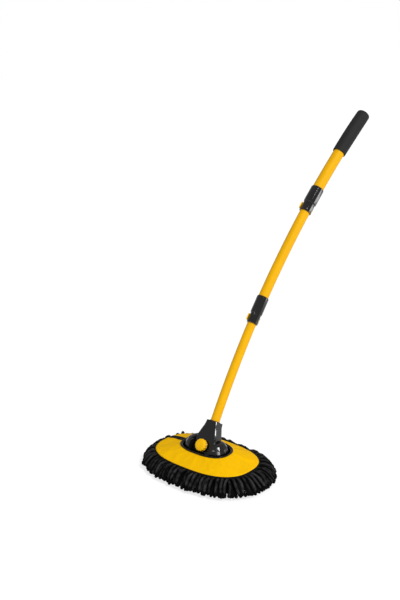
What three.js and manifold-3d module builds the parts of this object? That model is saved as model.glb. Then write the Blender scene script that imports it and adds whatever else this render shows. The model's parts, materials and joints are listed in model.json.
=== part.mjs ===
import * as THREE from 'three';
import { mergeVertices } from 'three/addons/utils/BufferGeometryUtils.js';
import Module from 'manifold-3d';

// A car wash brush: an oval mop head with chenille noodles, a tilting socket with a clamp knob,
// and a bowed pole of three tubes with two flip locks and a foam grip.
// Millimetres. +X runs along the head's long axis, +Z is up, and the pole leans towards +Y.
// The origin is on the floor under the middle of the head.

const wasm = await Module();
wasm.setup();

// Clearances and counts
const GAP = 0.3;
const OVERRUN = 2;
const ROUND_SIDES = 16;
const SMALL_SIDES = 10;
const OVAL_SIDES = 40;
const COVER_RINGS = 4;
const CROWN_FOAM_RINGS = 3;
const CROWN_STRIP_STEPS = 8;
const GRIP_ROUND_STEPS = 3;
const POINTS_PER_LOBE = 4;
const STRAND_SIDES = 3;

// Head, heights above the floor
const SOLE_HEIGHT = 18;
const BACKING_THICKNESS = 2.5;
const FOAM_THICKNESS = 9.9;
const PLATE_THICKNESS = 5;
const COVER_THICKNESS = 1.6;
const CROWN_RISE = 21.5;
const HEAD_HALF_LENGTH = 119.4;
const HEAD_HALF_WIDTH = 77.1;
const HEAD_ROUNDNESS_SHARE = 2.6;

// Chenille strands
const STRAND_RADIUS = 2.8;
const STRAND_PITCH = 8.2;
const STUB_PITCH = 17.5;
const STUB_RADIUS = 3.2;
const STUB_LEAN = 2.5;
const FLAT_CUT = 0.5;
const TOP_ROW_ROOT = 31;
const TOP_ROW_ELBOW_REACH = 17;
const TOP_ROW_ELBOW = 29;
const TOP_ROW_REACH = 34.5;
const TOP_ROW_TIP = 11;
const MIDDLE_ROW_ROOT = 26;
const MIDDLE_ROW_REACH = 31;
const MIDDLE_ROW_TIP = 3.5;
const LOW_ROW_ROOT = 21;
const LOW_ROW_REACH = 21;
const FRINGE_ROWS = [
  {
    rootHeight: TOP_ROW_ROOT,
    elbowReach: TOP_ROW_ELBOW_REACH,
    elbowHeight: TOP_ROW_ELBOW,
    tipReach: TOP_ROW_REACH,
    tipHeight: TOP_ROW_TIP,
  },
  { rootHeight: MIDDLE_ROW_ROOT, tipReach: MIDDLE_ROW_REACH, tipHeight: MIDDLE_ROW_TIP },
  { rootHeight: LOW_ROW_ROOT, tipReach: LOW_ROW_REACH, tipHeight: -FLAT_CUT },
];

// Tape around the cover and along its slit
const BINDING_THICKNESS = 2.6;
const BINDING_HEIGHT = 4;
const SLIT_WIDTH = 3;
const SLIT_TURN = THREE.MathUtils.degToRad(15);
const TAPE_WIDTH = 5;
const TAPE_THICKNESS = 1.1;
const CLOSURE_WIDTH = 16;
const CLOSURE_TO_EDGE = 12.8;

// Swivel bracket
const TUB_HALF_LENGTH = 55.5;
const TUB_HALF_WIDTH = 33.5;
const TUB_WALL = 2.5;
const TUB_FLOOR = 3;
const LIP_WIDTH = 4;
const LIP_THICKNESS = 3.5;
const LIP_ROUNDING = 1.2;
const BRACKET_ROUNDNESS_SHARE = 2.6;
const HUMP_HALF_WIDTH = 14;
const HUMP_TO_TUB_END = 2.4;
const HUMP_CHAMFER = 2.4;
const HINGE_BELOW_LIP = 1.6;
const HUMP_ABOVE_HINGE = 18.4;
const PIN_RADIUS = 3.5;
const PIN_HEAD_RADIUS = 5;
const PIN_HEAD_LENGTH = 3;
const PIN_TO_HUMP_END = 6.5;
const SCREW_RADIUS = 2;
const SCREW_HEAD_RADIUS = 4;
const SCREW_HEAD_HEIGHT = 2.6;
const SCREW_SPREAD_X = 22;
const SCREW_SPREAD_Y = 25;

// Pole lean and bow
const LEAN = THREE.MathUtils.degToRad(30.25);
const BOW_TURN = THREE.MathUtils.degToRad(69);
const BOW_RADIUS = 2620;

// Pole socket
const SOCKET_HALF_WIDTH = 27.2;
const SOCKET_HALF_DEPTH = 12.8;
const SOCKET_MOUTH_HALF = 13.7;
const SOCKET_COLLAR_HALF = 15;
const SOCKET_COLLAR = 10;
const SOCKET_LENGTH = 57;
const SOCKET_SHOULDER = 14;
const SOCKET_APRON = 14.5;
const APRON_CHAMFER = 1.5;
const SOCKET_CHAMFER = 3.2;
const BOSS_RADIUS = 12.5;
const BOSS_HEIGHT = 4.2;
const TUBE_SEAT = 19;
const SOCKET_SCREW_TO_MOUTH = 12;
const SOCKET_SCREW_RADIUS = 1.5;
const SOCKET_SCREW_HEAD_RADIUS = 3;
const SOCKET_SCREW_HEAD = 1.8;

// Clamp
const KNOB_RADIUS = 14;
const KNOB_HEIGHT = 9;
const KNOB_LOBES = 10;
const KNOB_DISH = 1.5;
const KNOB_LOBE_DEPTH = 0.8;
const STUD_RADIUS = 2.5;
const STUD_SOCKET_DEPTH = 5;
const INSERT_RADIUS = 5;
const INSERT_LENGTH = 7.3;
const BRAKE_RADIUS = 4.6;
const BRAKE_THICKNESS = 3.4;

// Tubes
const LOWER_TUBE_RADIUS = 10;
const MID_TUBE_RADIUS = 11.5;
const UPPER_TUBE_RADIUS = 13;
const TUBE_WALL = 0.9;
const TUBE_RING_STEP = 46;
const LOWER_REACH = 230;
const MIDDLE_REACH = 285.5;
const UPPER_REACH = 282.5;
const TUBE_OVERLAP = 65;
const BUSH_COLLAR = 5;
const BUSH_SPIGOT = 12;
const PLUG_CAP = 1.5;
const PLUG_SPIGOT = 6;

// Flip locks
const NECK_LENGTH = 24;
const BARREL_LENGTH = 41;
const BARREL_WALL = 1.9;
const NECK_WALL = 1.1;
const NECK_RIM = 2;
const NECK_RIM_WALL = 1.6;
const LOCK_SIDES = 12;
const LOCK_CHAMFER = 1.2;
const LINER_THICKNESS = 0.5;
const LINER_LENGTH = 18;
const LOCK_FACING = THREE.MathUtils.degToRad(-75);
const LEVER_LENGTH = 15;
const LEVER_THICKNESS = 2.4;
const LEVER_CLEARANCE = 0.7;
const LEVER_START = THREE.MathUtils.degToRad(112);
const LEVER_ARM_START = THREE.MathUtils.degToRad(97);
const LEVER_END = THREE.MathUtils.degToRad(220);
const KNUCKLE_RADIUS = 2.9;
const KNUCKLE_HEIGHT = 8;
const EAR_HEIGHT = 3;
const LEVER_PIN_RADIUS = 1;
const SHOE_WIDTH = 4;
const RIVET_RADIUS = 1.2;
const RIVET_HEAD_RADIUS = 2.6;
const RIVET_HEAD = 1.2;
const RIVET_STEP = 18;

// Grip
const GRIP_ON_TUBE = 115;
const GRIP_RADIUS = 15.7;
const GRIP_SWELL = 0.5;
const GRIP_ROUNDING = 3;
const GRIP_DOME = 4;

// Heights that follow
const FOAM_BOTTOM = SOLE_HEIGHT + BACKING_THICKNESS + GAP;
const PLATE_BOTTOM = FOAM_BOTTOM + FOAM_THICKNESS + GAP;
const PLATE_TOP = PLATE_BOTTOM + PLATE_THICKNESS;
const COVER_EDGE = PLATE_TOP + GAP + COVER_THICKNESS;
const TUB_BOTTOM = PLATE_TOP + GAP;

// Places along the pole that follow, from the hinge on
const SOCKET_SCREW_HEIGHT = SOCKET_LENGTH - SOCKET_SCREW_TO_MOUTH;
const LOWER_LOCK_START = SOCKET_LENGTH + LOWER_REACH;
const LOWER_TUBE_END = LOWER_LOCK_START + TUBE_OVERLAP;
const UPPER_LOCK_START = LOWER_LOCK_START + MIDDLE_REACH;
const MID_TUBE_END = UPPER_LOCK_START + TUBE_OVERLAP;
const UPPER_TUBE_END = UPPER_LOCK_START + UPPER_REACH;
const GRIP_START = UPPER_TUBE_END - GRIP_ON_TUBE;

// Outlines

class Oval extends THREE.Curve {
  constructor(halfLength, halfWidth, roundness) {
    super();
    this.halfLength = halfLength;
    this.halfWidth = halfWidth;
    this.roundness = roundness;
  }

  getPoint(share, target = new THREE.Vector2()) {
    const angle = share * 2 * Math.PI;
    const power = 2 / this.roundness;
    const across = Math.cos(angle);
    const along = Math.sin(angle);
    return target.set(
      this.halfLength * Math.sign(across) * Math.abs(across) ** power,
      this.halfWidth * Math.sign(along) * Math.abs(along) ** power,
    );
  }
}

function headOval(inset) {
  return new Oval(HEAD_HALF_LENGTH - inset, HEAD_HALF_WIDTH - inset, HEAD_ROUNDNESS_SHARE);
}

function bracketOval(outset) {
  return new Oval(TUB_HALF_LENGTH + outset, TUB_HALF_WIDTH + outset, BRACKET_ROUNDNESS_SHARE);
}

// How far out a point lies on the head, from 0 in the middle to 1 at the cover's edge
function headReach(x, y) {
  const power = HEAD_ROUNDNESS_SHARE;
  const sum = Math.abs(x / HEAD_HALF_LENGTH) ** power + Math.abs(y / HEAD_HALF_WIDTH) ** power;
  return Math.min(1, sum ** (1 / power));
}

// Height of the cover's crown
function crownAt(x, y) {
  return COVER_EDGE + CROWN_RISE * (1 - headReach(x, y) ** 2);
}

// Solids

function solidOf(geometry) {
  const bare = geometry.clone();
  bare.deleteAttribute('normal');
  bare.deleteAttribute('uv');
  const merged = mergeVertices(bare);
  const mesh = new wasm.Mesh({
    numProp: 3,
    vertProperties: new Float32Array(merged.attributes.position.array),
    triVerts: new Uint32Array(merged.index.array),
  });
  return new wasm.Manifold(mesh);
}

function geometryOf(solid) {
  const mesh = solid.getMesh();
  const geometry = new THREE.BufferGeometry();
  geometry.setAttribute('position', new THREE.BufferAttribute(mesh.vertProperties, 3));
  geometry.setIndex(new THREE.BufferAttribute(mesh.triVerts, 1));
  return geometry;
}

function join(first, ...others) {
  return others.reduce((whole, other) => whole.add(other), first);
}

function cut(first, ...others) {
  return others.reduce((whole, other) => whole.subtract(other), first);
}

function slab(oval, bottom, top) {
  const shape = new THREE.Shape(oval.getPoints(OVAL_SIDES).slice(0, -1));
  const geometry = new THREE.ExtrudeGeometry(shape, { depth: top - bottom, bevelEnabled: false });
  return geometry.translate(0, 0, bottom);
}

// A slab whose top and bottom edges are rounded off
function softSlab(outline, bottom, top, rounding) {
  const geometry = new THREE.ExtrudeGeometry(outline, {
    depth: top - bottom - 2 * rounding,
    bevelThickness: rounding,
    bevelSize: rounding,
    bevelOffset: -rounding,
    bevelSegments: 1,
  });
  return geometry.translate(0, 0, bottom + rounding);
}

function block(fromX, toX, fromY, toY, fromZ, toZ) {
  const geometry = new THREE.BoxGeometry(toX - fromX, toY - fromY, toZ - fromZ);
  return geometry.translate((fromX + toX) / 2, (fromY + toY) / 2, (fromZ + toZ) / 2);
}

// A turned piece about +Z from [radius, height] points
function turned(profile, sides = ROUND_SIDES) {
  const points = profile.map(([radius, height]) => new THREE.Vector2(radius, height));
  return new THREE.LatheGeometry(points, sides).rotateX(Math.PI / 2);
}

function rod(radius, bottom, top, sides = ROUND_SIDES) {
  return turned([[0, bottom], [radius, bottom], [radius, top], [0, top]], sides);
}

function sleeve(inner, outer, bottom, top, sides = ROUND_SIDES) {
  const profile = [[inner, bottom], [outer, bottom], [outer, top], [inner, top], [inner, bottom]];
  return turned(profile, sides);
}

function towardsX(geometry) {
  return geometry.rotateY(Math.PI / 2);
}

// The knob's side of the socket, which faces the front and up
function towardsKnob(geometry) {
  return geometry.rotateX(Math.PI / 2);
}

// A ring between two outlines with a top and a bottom height at every place
function ringBetween(inner, outer, topAt, bottomAt, rings) {
  const places = [];
  for (const heightAt of [topAt, bottomAt]) {
    for (let ring = 0; ring <= rings; ring += 1) {
      for (let side = 0; side < OVAL_SIDES; side += 1) {
        const near = inner.getPoint(side / OVAL_SIDES);
        const far = outer.getPoint(side / OVAL_SIDES);
        const place = near.lerp(far, ring / rings);
        places.push(place.x, place.y, heightAt(place.x, place.y));
      }
    }
  }
  const layer = (rings + 1) * OVAL_SIDES;
  const faces = [];
  const quad = (a, b, c, d) => faces.push(a, b, c, a, c, d);
  for (let side = 0; side < OVAL_SIDES; side += 1) {
    const next = (side + 1) % OVAL_SIDES;
    for (let ring = 0; ring < rings; ring += 1) {
      const near = ring * OVAL_SIDES;
      const far = near + OVAL_SIDES;
      quad(near + side, far + side, far + next, near + next);
      quad(layer + near + side, layer + near + next, layer + far + next, layer + far + side);
    }
    const edge = rings * OVAL_SIDES;
    quad(edge + side, layer + edge + side, layer + edge + next, edge + next);
    quad(side, next, layer + next, layer + side);
  }
  const geometry = new THREE.BufferGeometry();
  geometry.setAttribute('position', new THREE.Float32BufferAttribute(places, 3));
  geometry.setIndex(faces);
  return geometry;
}

// Turns a place or a solid about the slit's start, from along X to along the slit
function slitPlace(x, y) {
  const start = new THREE.Vector2(-SLIT_START, 0);
  return new THREE.Vector2(x, y).rotateAround(start, -SLIT_TURN);
}

function turnToSlit(geometry) {
  return geometry.translate(SLIT_START, 0, 0).rotateZ(-SLIT_TURN).translate(-SLIT_START, 0, 0);
}

// A strip along the slit that keeps clear of the crown on one side: over it with a positive lift,
// under it with a negative one
function crownStrip(fromX, toX, fromY, toY, lift, thickness) {
  const clearest = lift > 0 ? Math.max : Math.min;
  const lower = [];
  const upper = [];
  for (let step = 0; step <= CROWN_STRIP_STEPS; step += 1) {
    const x = THREE.MathUtils.lerp(fromX, toX, step / CROWN_STRIP_STEPS);
    const edges = [fromY, toY].map((y) => slitPlace(x, y));
    const height = clearest(...edges.map((place) => crownAt(place.x, place.y))) + lift;
    lower.push(new THREE.Vector2(x, height));
    upper.unshift(new THREE.Vector2(x, height + thickness));
  }
  const shape = new THREE.Shape([...lower, ...upper]);
  const geometry = new THREE.ExtrudeGeometry(shape, { depth: toY - fromY, bevelEnabled: false });
  return turnToSlit(geometry.rotateX(Math.PI / 2).translate(0, toY, 0));
}

// Materials

function material(color, roughness, metalness = 0) {
  return new THREE.MeshStandardMaterial({ color, roughness, metalness });
}

const YELLOW_FABRIC = material(0xf2b705, 0.8);
const BLACK_TAPE = material(0x141414, 0.85);
const CHENILLE = material(0x3d3f42, 0.95);
const SPONGE = material(0xd9c27a, 0.95);
const BLACK_GLOSS = material(0x0c0c0e, 0.2);
const YELLOW_GLOSS = material(0xf2b20a, 0.3);
const YELLOW_TUBE = material(0xf4b400, 0.25, 0.3);
const BLACK_FOAM = material(0x1b1b1c, 0.95);
const GREY_PLASTIC = material(0x8a8d90, 0.5);
const STEEL = material(0xb5b8bc, 0.3, 1);
const BRASS = material(0xc9a24a, 0.35, 1);

function piece(name, geometry, finish) {
  const mesh = new THREE.Mesh(geometry, finish);
  mesh.name = name;
  return mesh;
}

// Chenille pad

// A three-sided strand through its points, thinner towards the tip
function strand(points, radius, sideways) {
  const places = [];
  points.forEach((point, index) => {
    const before = points[Math.max(0, index - 1)];
    const after = points[Math.min(points.length - 1, index + 1)];
    const ahead = after.clone().sub(before).normalize();
    const lift = sideways.clone().cross(ahead).normalize();
    for (let corner = 0; corner < STRAND_SIDES; corner += 1) {
      const angle = Math.PI / 2 + (corner * 2 * Math.PI) / STRAND_SIDES;
      const place = point.clone();
      place.addScaledVector(sideways, Math.cos(angle) * radius);
      place.addScaledVector(lift, Math.sin(angle) * radius);
      places.push(place.x, place.y, place.z);
    }
  });
  const faces = [0, 1, 2];
  for (let step = 0; step < points.length - 1; step += 1) {
    for (let corner = 0; corner < STRAND_SIDES; corner += 1) {
      const a = step * STRAND_SIDES + corner;
      const b = step * STRAND_SIDES + ((corner + 1) % STRAND_SIDES);
      faces.push(a, a + STRAND_SIDES, b, b, a + STRAND_SIDES, b + STRAND_SIDES);
    }
  }
  const last = (points.length - 1) * STRAND_SIDES;
  faces.push(last, last + 2, last + 1);
  const geometry = new THREE.BufferGeometry();
  geometry.setAttribute('position', new THREE.Float32BufferAttribute(places, 3));
  geometry.setIndex(faces);
  return geometry;
}

// Strands of one row around the backing's wall, each with the quadrant that it is sewn to
function fringeRow(row, startShare) {
  const oval = headOval(BACKING_THICKNESS / 2);
  const count = Math.round(oval.getLength() / STRAND_PITCH);
  const strands = [];
  for (let index = 0; index < count; index += 1) {
    const share = (index + startShare) / count;
    const root = oval.getPointAt(share);
    const tangent = oval.getTangentAt(share);
    const sideways = new THREE.Vector3(-tangent.x, -tangent.y, 0);
    const place = (reach, height) => new THREE.Vector3(
      root.x + tangent.y * reach,
      root.y - tangent.x * reach,
      height,
    );
    const points = [
      place(0, row.rootHeight),
      place(row.tipReach + BACKING_THICKNESS / 2, row.tipHeight),
    ];
    if (row.elbowReach) {
      points.splice(1, 0, place(row.elbowReach, row.elbowHeight));
    }
    strands.push({ root, geometry: strand(points, STRAND_RADIUS, sideways) });
  }
  return strands;
}

// Short strands on the underside, one of them in the middle
function undersideStubs() {
  const columns = Math.floor(HEAD_HALF_LENGTH / STUB_PITCH);
  const rows = Math.floor(HEAD_HALF_WIDTH / STUB_PITCH);
  const outermostShare = 0.9;
  const stubs = [];
  for (let column = -columns; column <= columns; column += 1) {
    for (let row = -rows; row <= rows; row += 1) {
      const root = new THREE.Vector2(column * STUB_PITCH, row * STUB_PITCH);
      const reach = headReach(root.x, root.y);
      if (reach < outermostShare) {
        const out = new THREE.Vector2(root.x / HEAD_HALF_LENGTH, root.y / HEAD_HALF_WIDTH);
        const tip = root.clone().addScaledVector(out, STUB_LEAN);
        const points = [
          new THREE.Vector3(root.x, root.y, SOLE_HEIGHT + BACKING_THICKNESS / 2),
          new THREE.Vector3(tip.x, tip.y, -FLAT_CUT),
        ];
        stubs.push({ root, geometry: strand(points, STUB_RADIUS, new THREE.Vector3(1, 0, 0)) });
      }
    }
  }
  return stubs;
}

// The backing is a dish around the sponge: a sole and a wall
function backingDish() {
  const outside = solidOf(slab(headOval(0), SOLE_HEIGHT, COVER_EDGE - COVER_THICKNESS - GAP));
  const inside = slab(headOval(BACKING_THICKNESS), SOLE_HEIGHT + BACKING_THICKNESS, COVER_EDGE);
  return cut(outside, solidOf(inside));
}

function noodlePads() {
  const dish = backingDish();
  const strands = [
    ...fringeRow(FRINGE_ROWS[0], 0),
    ...fringeRow(FRINGE_ROWS[1], 1 / 2),
    ...fringeRow(FRINGE_ROWS[2], 0),
    ...undersideStubs(),
  ];
  const split = STUB_PITCH / 2;
  const keepOff = STRAND_RADIUS + GAP;
  const far = HEAD_HALF_LENGTH * 2;
  const floor = solidOf(block(-far, far, -far, far, -far, 0));
  const pads = [];
  for (const [endName, fromX, toX] of [['left', -far, split], ['right', split, far]]) {
    for (const [sideName, fromY, toY] of [['front', -far, split], ['back', split, far]]) {
      const room = block(fromX + GAP / 2, toX - GAP / 2, fromY + GAP / 2, toY - GAP / 2, 0, far);
      const mine = strands.filter(({ root }) => (
        root.x > fromX && root.x < toX && root.y > fromY && root.y < toY
        && Math.abs(root.x - split) > keepOff && Math.abs(root.y - split) > keepOff));
      let pad = dish.intersect(solidOf(room));
      for (const { geometry } of mine) {
        pad = pad.add(solidOf(geometry));
      }
      pads.push(piece(`noodle_pad_${sideName}_${endName}`, geometryOf(cut(pad, floor)), CHENILLE));
    }
  }
  return pads;
}

// Inside of the head and its cover

function foamPad() {
  const inset = BACKING_THICKNESS + GAP;
  return piece('foam_pad', slab(headOval(inset), FOAM_BOTTOM, FOAM_BOTTOM + FOAM_THICKNESS), SPONGE);
}

function screwPlaces() {
  const places = [];
  for (const x of [-SCREW_SPREAD_X, SCREW_SPREAD_X]) {
    for (const y of [-SCREW_SPREAD_Y, SCREW_SPREAD_Y]) {
      places.push([x, y]);
    }
  }
  return places;
}

function screwHole([x, y], bottom, top) {
  return solidOf(rod(SCREW_RADIUS + GAP, bottom, top, SMALL_SIDES).translate(x, y, 0));
}

function basePlate() {
  const inset = BACKING_THICKNESS + GAP;
  const plate = solidOf(slab(headOval(inset), PLATE_BOTTOM, PLATE_TOP));
  const holes = screwPlaces().map((at) => (
    screwHole(at, PLATE_BOTTOM - OVERRUN, PLATE_TOP + OVERRUN)));
  return piece('base_plate', geometryOf(cut(plate, ...holes)), BLACK_GLOSS);
}

const SLIT_START = TUB_HALF_LENGTH + TUB_WALL + LIP_WIDTH;
const TAPE_START = SLIT_START + GAP * 2;
const TAPE_END = HEAD_HALF_LENGTH - GAP;
const CLOSURE_START = TAPE_START + GAP;
const CLOSURE_END = HEAD_HALF_LENGTH - CLOSURE_TO_EDGE;

// The hook-and-loop strip under the slit, or its pocket when it is given a clearance and an overrun
function closureStrip(clearance, overrun) {
  const half = CLOSURE_WIDTH / 2 + clearance;
  const lift = -(COVER_THICKNESS + 2 * GAP + TAPE_THICKNESS + clearance);
  return crownStrip(
    -CLOSURE_END - clearance, -CLOSURE_START + clearance, -half, half, lift, TAPE_THICKNESS + overrun);
}

function crownFoam() {
  const under = COVER_THICKNESS + GAP;
  const ring = ringBetween(
    bracketOval(TUB_WALL + GAP), headOval(BACKING_THICKNESS + GAP),
    (x, y) => crownAt(x, y) - under, () => PLATE_TOP + GAP, CROWN_FOAM_RINGS);
  const pocket = closureStrip(GAP, OVERRUN);
  return piece('crown_foam', geometryOf(cut(solidOf(ring), solidOf(pocket))), SPONGE);
}

function topCover() {
  const opening = bracketOval(TUB_WALL + GAP);
  const ring = ringBetween(
    opening, headOval(0), crownAt, (x, y) => crownAt(x, y) - COVER_THICKNESS, COVER_RINGS);
  const slit = block(
    -HEAD_HALF_LENGTH - OVERRUN, -TUB_HALF_LENGTH, -SLIT_WIDTH / 2, SLIT_WIDTH / 2,
    0, COVER_EDGE + CROWN_RISE + OVERRUN);
  return piece('top_cover', geometryOf(cut(solidOf(ring), solidOf(turnToSlit(slit)))), YELLOW_FABRIC);
}

function edgeBinding() {
  const top = COVER_EDGE + TAPE_THICKNESS / 2;
  const ring = ringBetween(
    headOval(-GAP), headOval(-GAP - BINDING_THICKNESS), () => top, () => top - BINDING_HEIGHT, 1);
  return piece('edge_binding', ring, BLACK_TAPE);
}

function slitTapes() {
  const near = SLIT_WIDTH / 2;
  const far = near + TAPE_WIDTH;
  return [['front', -far, -near], ['back', near, far]].map(([side, fromY, toY]) => (
    piece(
      `slit_binding_${side}`,
      crownStrip(-TAPE_END, -TAPE_START, fromY, toY, GAP, TAPE_THICKNESS), BLACK_TAPE)));
}

// Swivel bracket

const LIP_OUTSET = TUB_WALL + LIP_WIDTH;
const LIP_BOTTOM = crownAt(0, TUB_HALF_WIDTH + TUB_WALL) + GAP;
const LIP_TOP = LIP_BOTTOM + LIP_THICKNESS;
const HINGE_HEIGHT = LIP_TOP - HINGE_BELOW_LIP;
const HUMP_START = SOCKET_HALF_WIDTH + 2 * GAP;
const HUMP_END = TUB_HALF_LENGTH - HUMP_TO_TUB_END;
const HUMP_TOP = HINGE_HEIGHT + HUMP_ABOVE_HINGE;
const PIN_END = HUMP_END - PIN_TO_HUMP_END;

// Side view of a hump, from its flat inner face to its falling outer face
function humpOutline() {
  const shoulder = HUMP_CHAMFER;
  return new THREE.Shape([
    new THREE.Vector2(HUMP_START, TUB_BOTTOM),
    new THREE.Vector2(HUMP_END + shoulder / 2, TUB_BOTTOM),
    new THREE.Vector2(HUMP_END, LIP_TOP + shoulder / 2),
    new THREE.Vector2(HUMP_END - 2 * shoulder, HUMP_TOP - 2 * shoulder),
    new THREE.Vector2(HUMP_END - 4 * shoulder, HUMP_TOP),
    new THREE.Vector2(HUMP_START + shoulder, HUMP_TOP),
    new THREE.Vector2(HUMP_START, HUMP_TOP - shoulder),
  ]);
}

function hump(side) {
  const body = softSlab(humpOutline(), -HUMP_HALF_WIDTH, HUMP_HALF_WIDTH, HUMP_CHAMFER);
  body.rotateX(Math.PI / 2);
  if (side < 0) {
    body.rotateZ(Math.PI);
  }
  return solidOf(body);
}

function swivelBracket() {
  const wall = slab(bracketOval(TUB_WALL), TUB_BOTTOM, LIP_TOP - LIP_ROUNDING);
  const lipShape = new THREE.Shape(bracketOval(LIP_OUTSET).getPoints(OVAL_SIDES).slice(0, -1));
  const lip = softSlab(lipShape, LIP_BOTTOM, LIP_TOP, LIP_ROUNDING);
  const pocket = slab(bracketOval(0), TUB_BOTTOM + TUB_FLOOR, LIP_TOP + OVERRUN);
  const tub = cut(join(solidOf(wall), solidOf(lip)), solidOf(pocket));
  const bore = towardsX(rod(PIN_RADIUS + GAP, -HUMP_END - OVERRUN, PIN_END + GAP));
  const sinkStart = -PIN_END;
  const sink = towardsX(rod(PIN_HEAD_RADIUS + GAP, -HUMP_END - OVERRUN, sinkStart));
  const holes = [bore, sink].map((geometry) => solidOf(geometry.translate(0, 0, HINGE_HEIGHT)));
  const screwHoles = screwPlaces().map((at) => (
    screwHole(at, TUB_BOTTOM - OVERRUN, TUB_BOTTOM + TUB_FLOOR + OVERRUN)));
  const body = cut(join(tub, hump(1), hump(-1)), ...holes, ...screwHoles);
  return piece('swivel_bracket', geometryOf(body), BLACK_GLOSS);
}

function hingePin() {
  const head = -PIN_END - GAP;
  const profile = [
    [0, head - PIN_HEAD_LENGTH], [PIN_HEAD_RADIUS, head - PIN_HEAD_LENGTH], [PIN_HEAD_RADIUS, head],
    [PIN_RADIUS, head], [PIN_RADIUS, PIN_END], [0, PIN_END],
  ];
  const pin = towardsX(turned(profile)).translate(0, 0, HINGE_HEIGHT);
  return piece('hinge_pin', pin, STEEL);
}

function bracketScrews() {
  const seat = TUB_BOTTOM + TUB_FLOOR + GAP;
  const tip = PLATE_BOTTOM + GAP;
  return screwPlaces().map(([x, y], index) => {
    const profile = [
      [0, tip], [SCREW_RADIUS, tip], [SCREW_RADIUS, seat], [SCREW_HEAD_RADIUS, seat],
      [SCREW_HEAD_RADIUS, seat + SCREW_HEAD_HEIGHT], [0, seat + SCREW_HEAD_HEIGHT],
    ];
    return piece(`bracket_screw_${index + 1}`, turned(profile, SMALL_SIDES).translate(x, y, 0), STEEL);
  });
}

// Pole socket. From here heights run along the pole from the hinge.

// Flared towards the hinge, round at the back of its bottom, with a flat apron at the front
function socketBody() {
  const bottom = SOCKET_APRON + SOCKET_CHAMFER + OVERRUN;
  const collar = SOCKET_LENGTH - SOCKET_COLLAR;
  const front = new THREE.Shape([
    new THREE.Vector2(-SOCKET_HALF_WIDTH, -bottom),
    new THREE.Vector2(SOCKET_HALF_WIDTH, -bottom),
    new THREE.Vector2(SOCKET_HALF_WIDTH, SOCKET_SHOULDER),
    new THREE.Vector2(SOCKET_COLLAR_HALF, collar),
    new THREE.Vector2(SOCKET_MOUTH_HALF, SOCKET_LENGTH),
    new THREE.Vector2(-SOCKET_MOUTH_HALF, SOCKET_LENGTH),
    new THREE.Vector2(-SOCKET_COLLAR_HALF, collar),
    new THREE.Vector2(-SOCKET_HALF_WIDTH, SOCKET_SHOULDER),
  ]);
  const depth = 2 * (SOCKET_HALF_DEPTH - SOCKET_CHAMFER);
  const flared = new THREE.ExtrudeGeometry(front, {
    depth,
    bevelThickness: SOCKET_CHAMFER,
    bevelSize: SOCKET_CHAMFER,
    bevelOffset: -SOCKET_CHAMFER,
    bevelSegments: 1,
  });
  flared.translate(0, 0, -depth / 2);
  const side = new THREE.Shape();
  side.moveTo(SOCKET_HALF_DEPTH, SOCKET_LENGTH - SOCKET_CHAMFER);
  side.lineTo(-SOCKET_HALF_DEPTH, SOCKET_LENGTH - SOCKET_CHAMFER);
  side.lineTo(-SOCKET_HALF_DEPTH, -SOCKET_APRON + APRON_CHAMFER);
  side.lineTo(-SOCKET_HALF_DEPTH + 2 * APRON_CHAMFER, -SOCKET_APRON);
  side.absarc(0, 0, SOCKET_HALF_DEPTH, 1.5 * Math.PI, 2 * Math.PI, false);
  const barrel = new THREE.ExtrudeGeometry(side, {
    depth: 2 * (SOCKET_HALF_WIDTH + OVERRUN), bevelEnabled: false, curveSegments: ROUND_SIDES,
  });
  barrel.translate(0, 0, -SOCKET_HALF_WIDTH - OVERRUN);
  barrel.rotateX(Math.PI / 2).rotateZ(Math.PI / 2);
  return solidOf(towardsKnob(flared)).intersect(solidOf(barrel));
}

const BOSS_TOP = SOCKET_HALF_DEPTH + BOSS_HEIGHT;
const BRAKE_SEAT = PIN_RADIUS + GAP;
const INSERT_SEAT = BOSS_TOP - GAP - INSERT_LENGTH;

function socketScrewHole(radius) {
  const inner = LOWER_TUBE_RADIUS - TUBE_WALL - OVERRUN;
  const hole = rod(radius, inner, SOCKET_HALF_DEPTH + OVERRUN, SMALL_SIDES).rotateX(-Math.PI / 2);
  return solidOf(hole.translate(0, 0, SOCKET_SCREW_HEIGHT));
}

function poleSocket() {
  const boss = towardsKnob(rod(BOSS_RADIUS, 0, BOSS_TOP));
  const far = SOCKET_HALF_WIDTH + OVERRUN;
  const pinBore = towardsX(rod(PIN_RADIUS + GAP, -far, far));
  const tubeBore = rod(LOWER_TUBE_RADIUS + GAP, TUBE_SEAT - GAP, SOCKET_LENGTH + OVERRUN);
  const insertBore = towardsKnob(rod(INSERT_RADIUS + GAP, 0, BOSS_TOP + OVERRUN));
  const body = cut(
    join(socketBody(), solidOf(boss)), solidOf(pinBore), solidOf(tubeBore), solidOf(insertBore),
    socketScrewHole(SOCKET_SCREW_RADIUS + GAP));
  return piece('pole_socket', geometryOf(body), BLACK_GLOSS);
}

function threadedInsert() {
  const ring = sleeve(STUD_RADIUS + GAP, INSERT_RADIUS, INSERT_SEAT, INSERT_SEAT + INSERT_LENGTH);
  return piece('threaded_insert', towardsKnob(ring), BRASS);
}

function socketScrew() {
  const tip = LOWER_TUBE_RADIUS - TUBE_WALL - 2 * GAP;
  const seat = SOCKET_HALF_DEPTH + GAP;
  const profile = [
    [0, tip], [SOCKET_SCREW_RADIUS, tip], [SOCKET_SCREW_RADIUS, seat],
    [SOCKET_SCREW_HEAD_RADIUS, seat], [SOCKET_SCREW_HEAD_RADIUS, seat + SOCKET_SCREW_HEAD / 2],
    [SOCKET_SCREW_HEAD_RADIUS / 2, seat + SOCKET_SCREW_HEAD], [0, seat + SOCKET_SCREW_HEAD],
  ];
  const screw = turned(profile, SMALL_SIDES).rotateX(-Math.PI / 2);
  screw.translate(0, 0, SOCKET_SCREW_HEIGHT);
  return piece('socket_screw', screw, STEEL);
}

// Clamp

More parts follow.
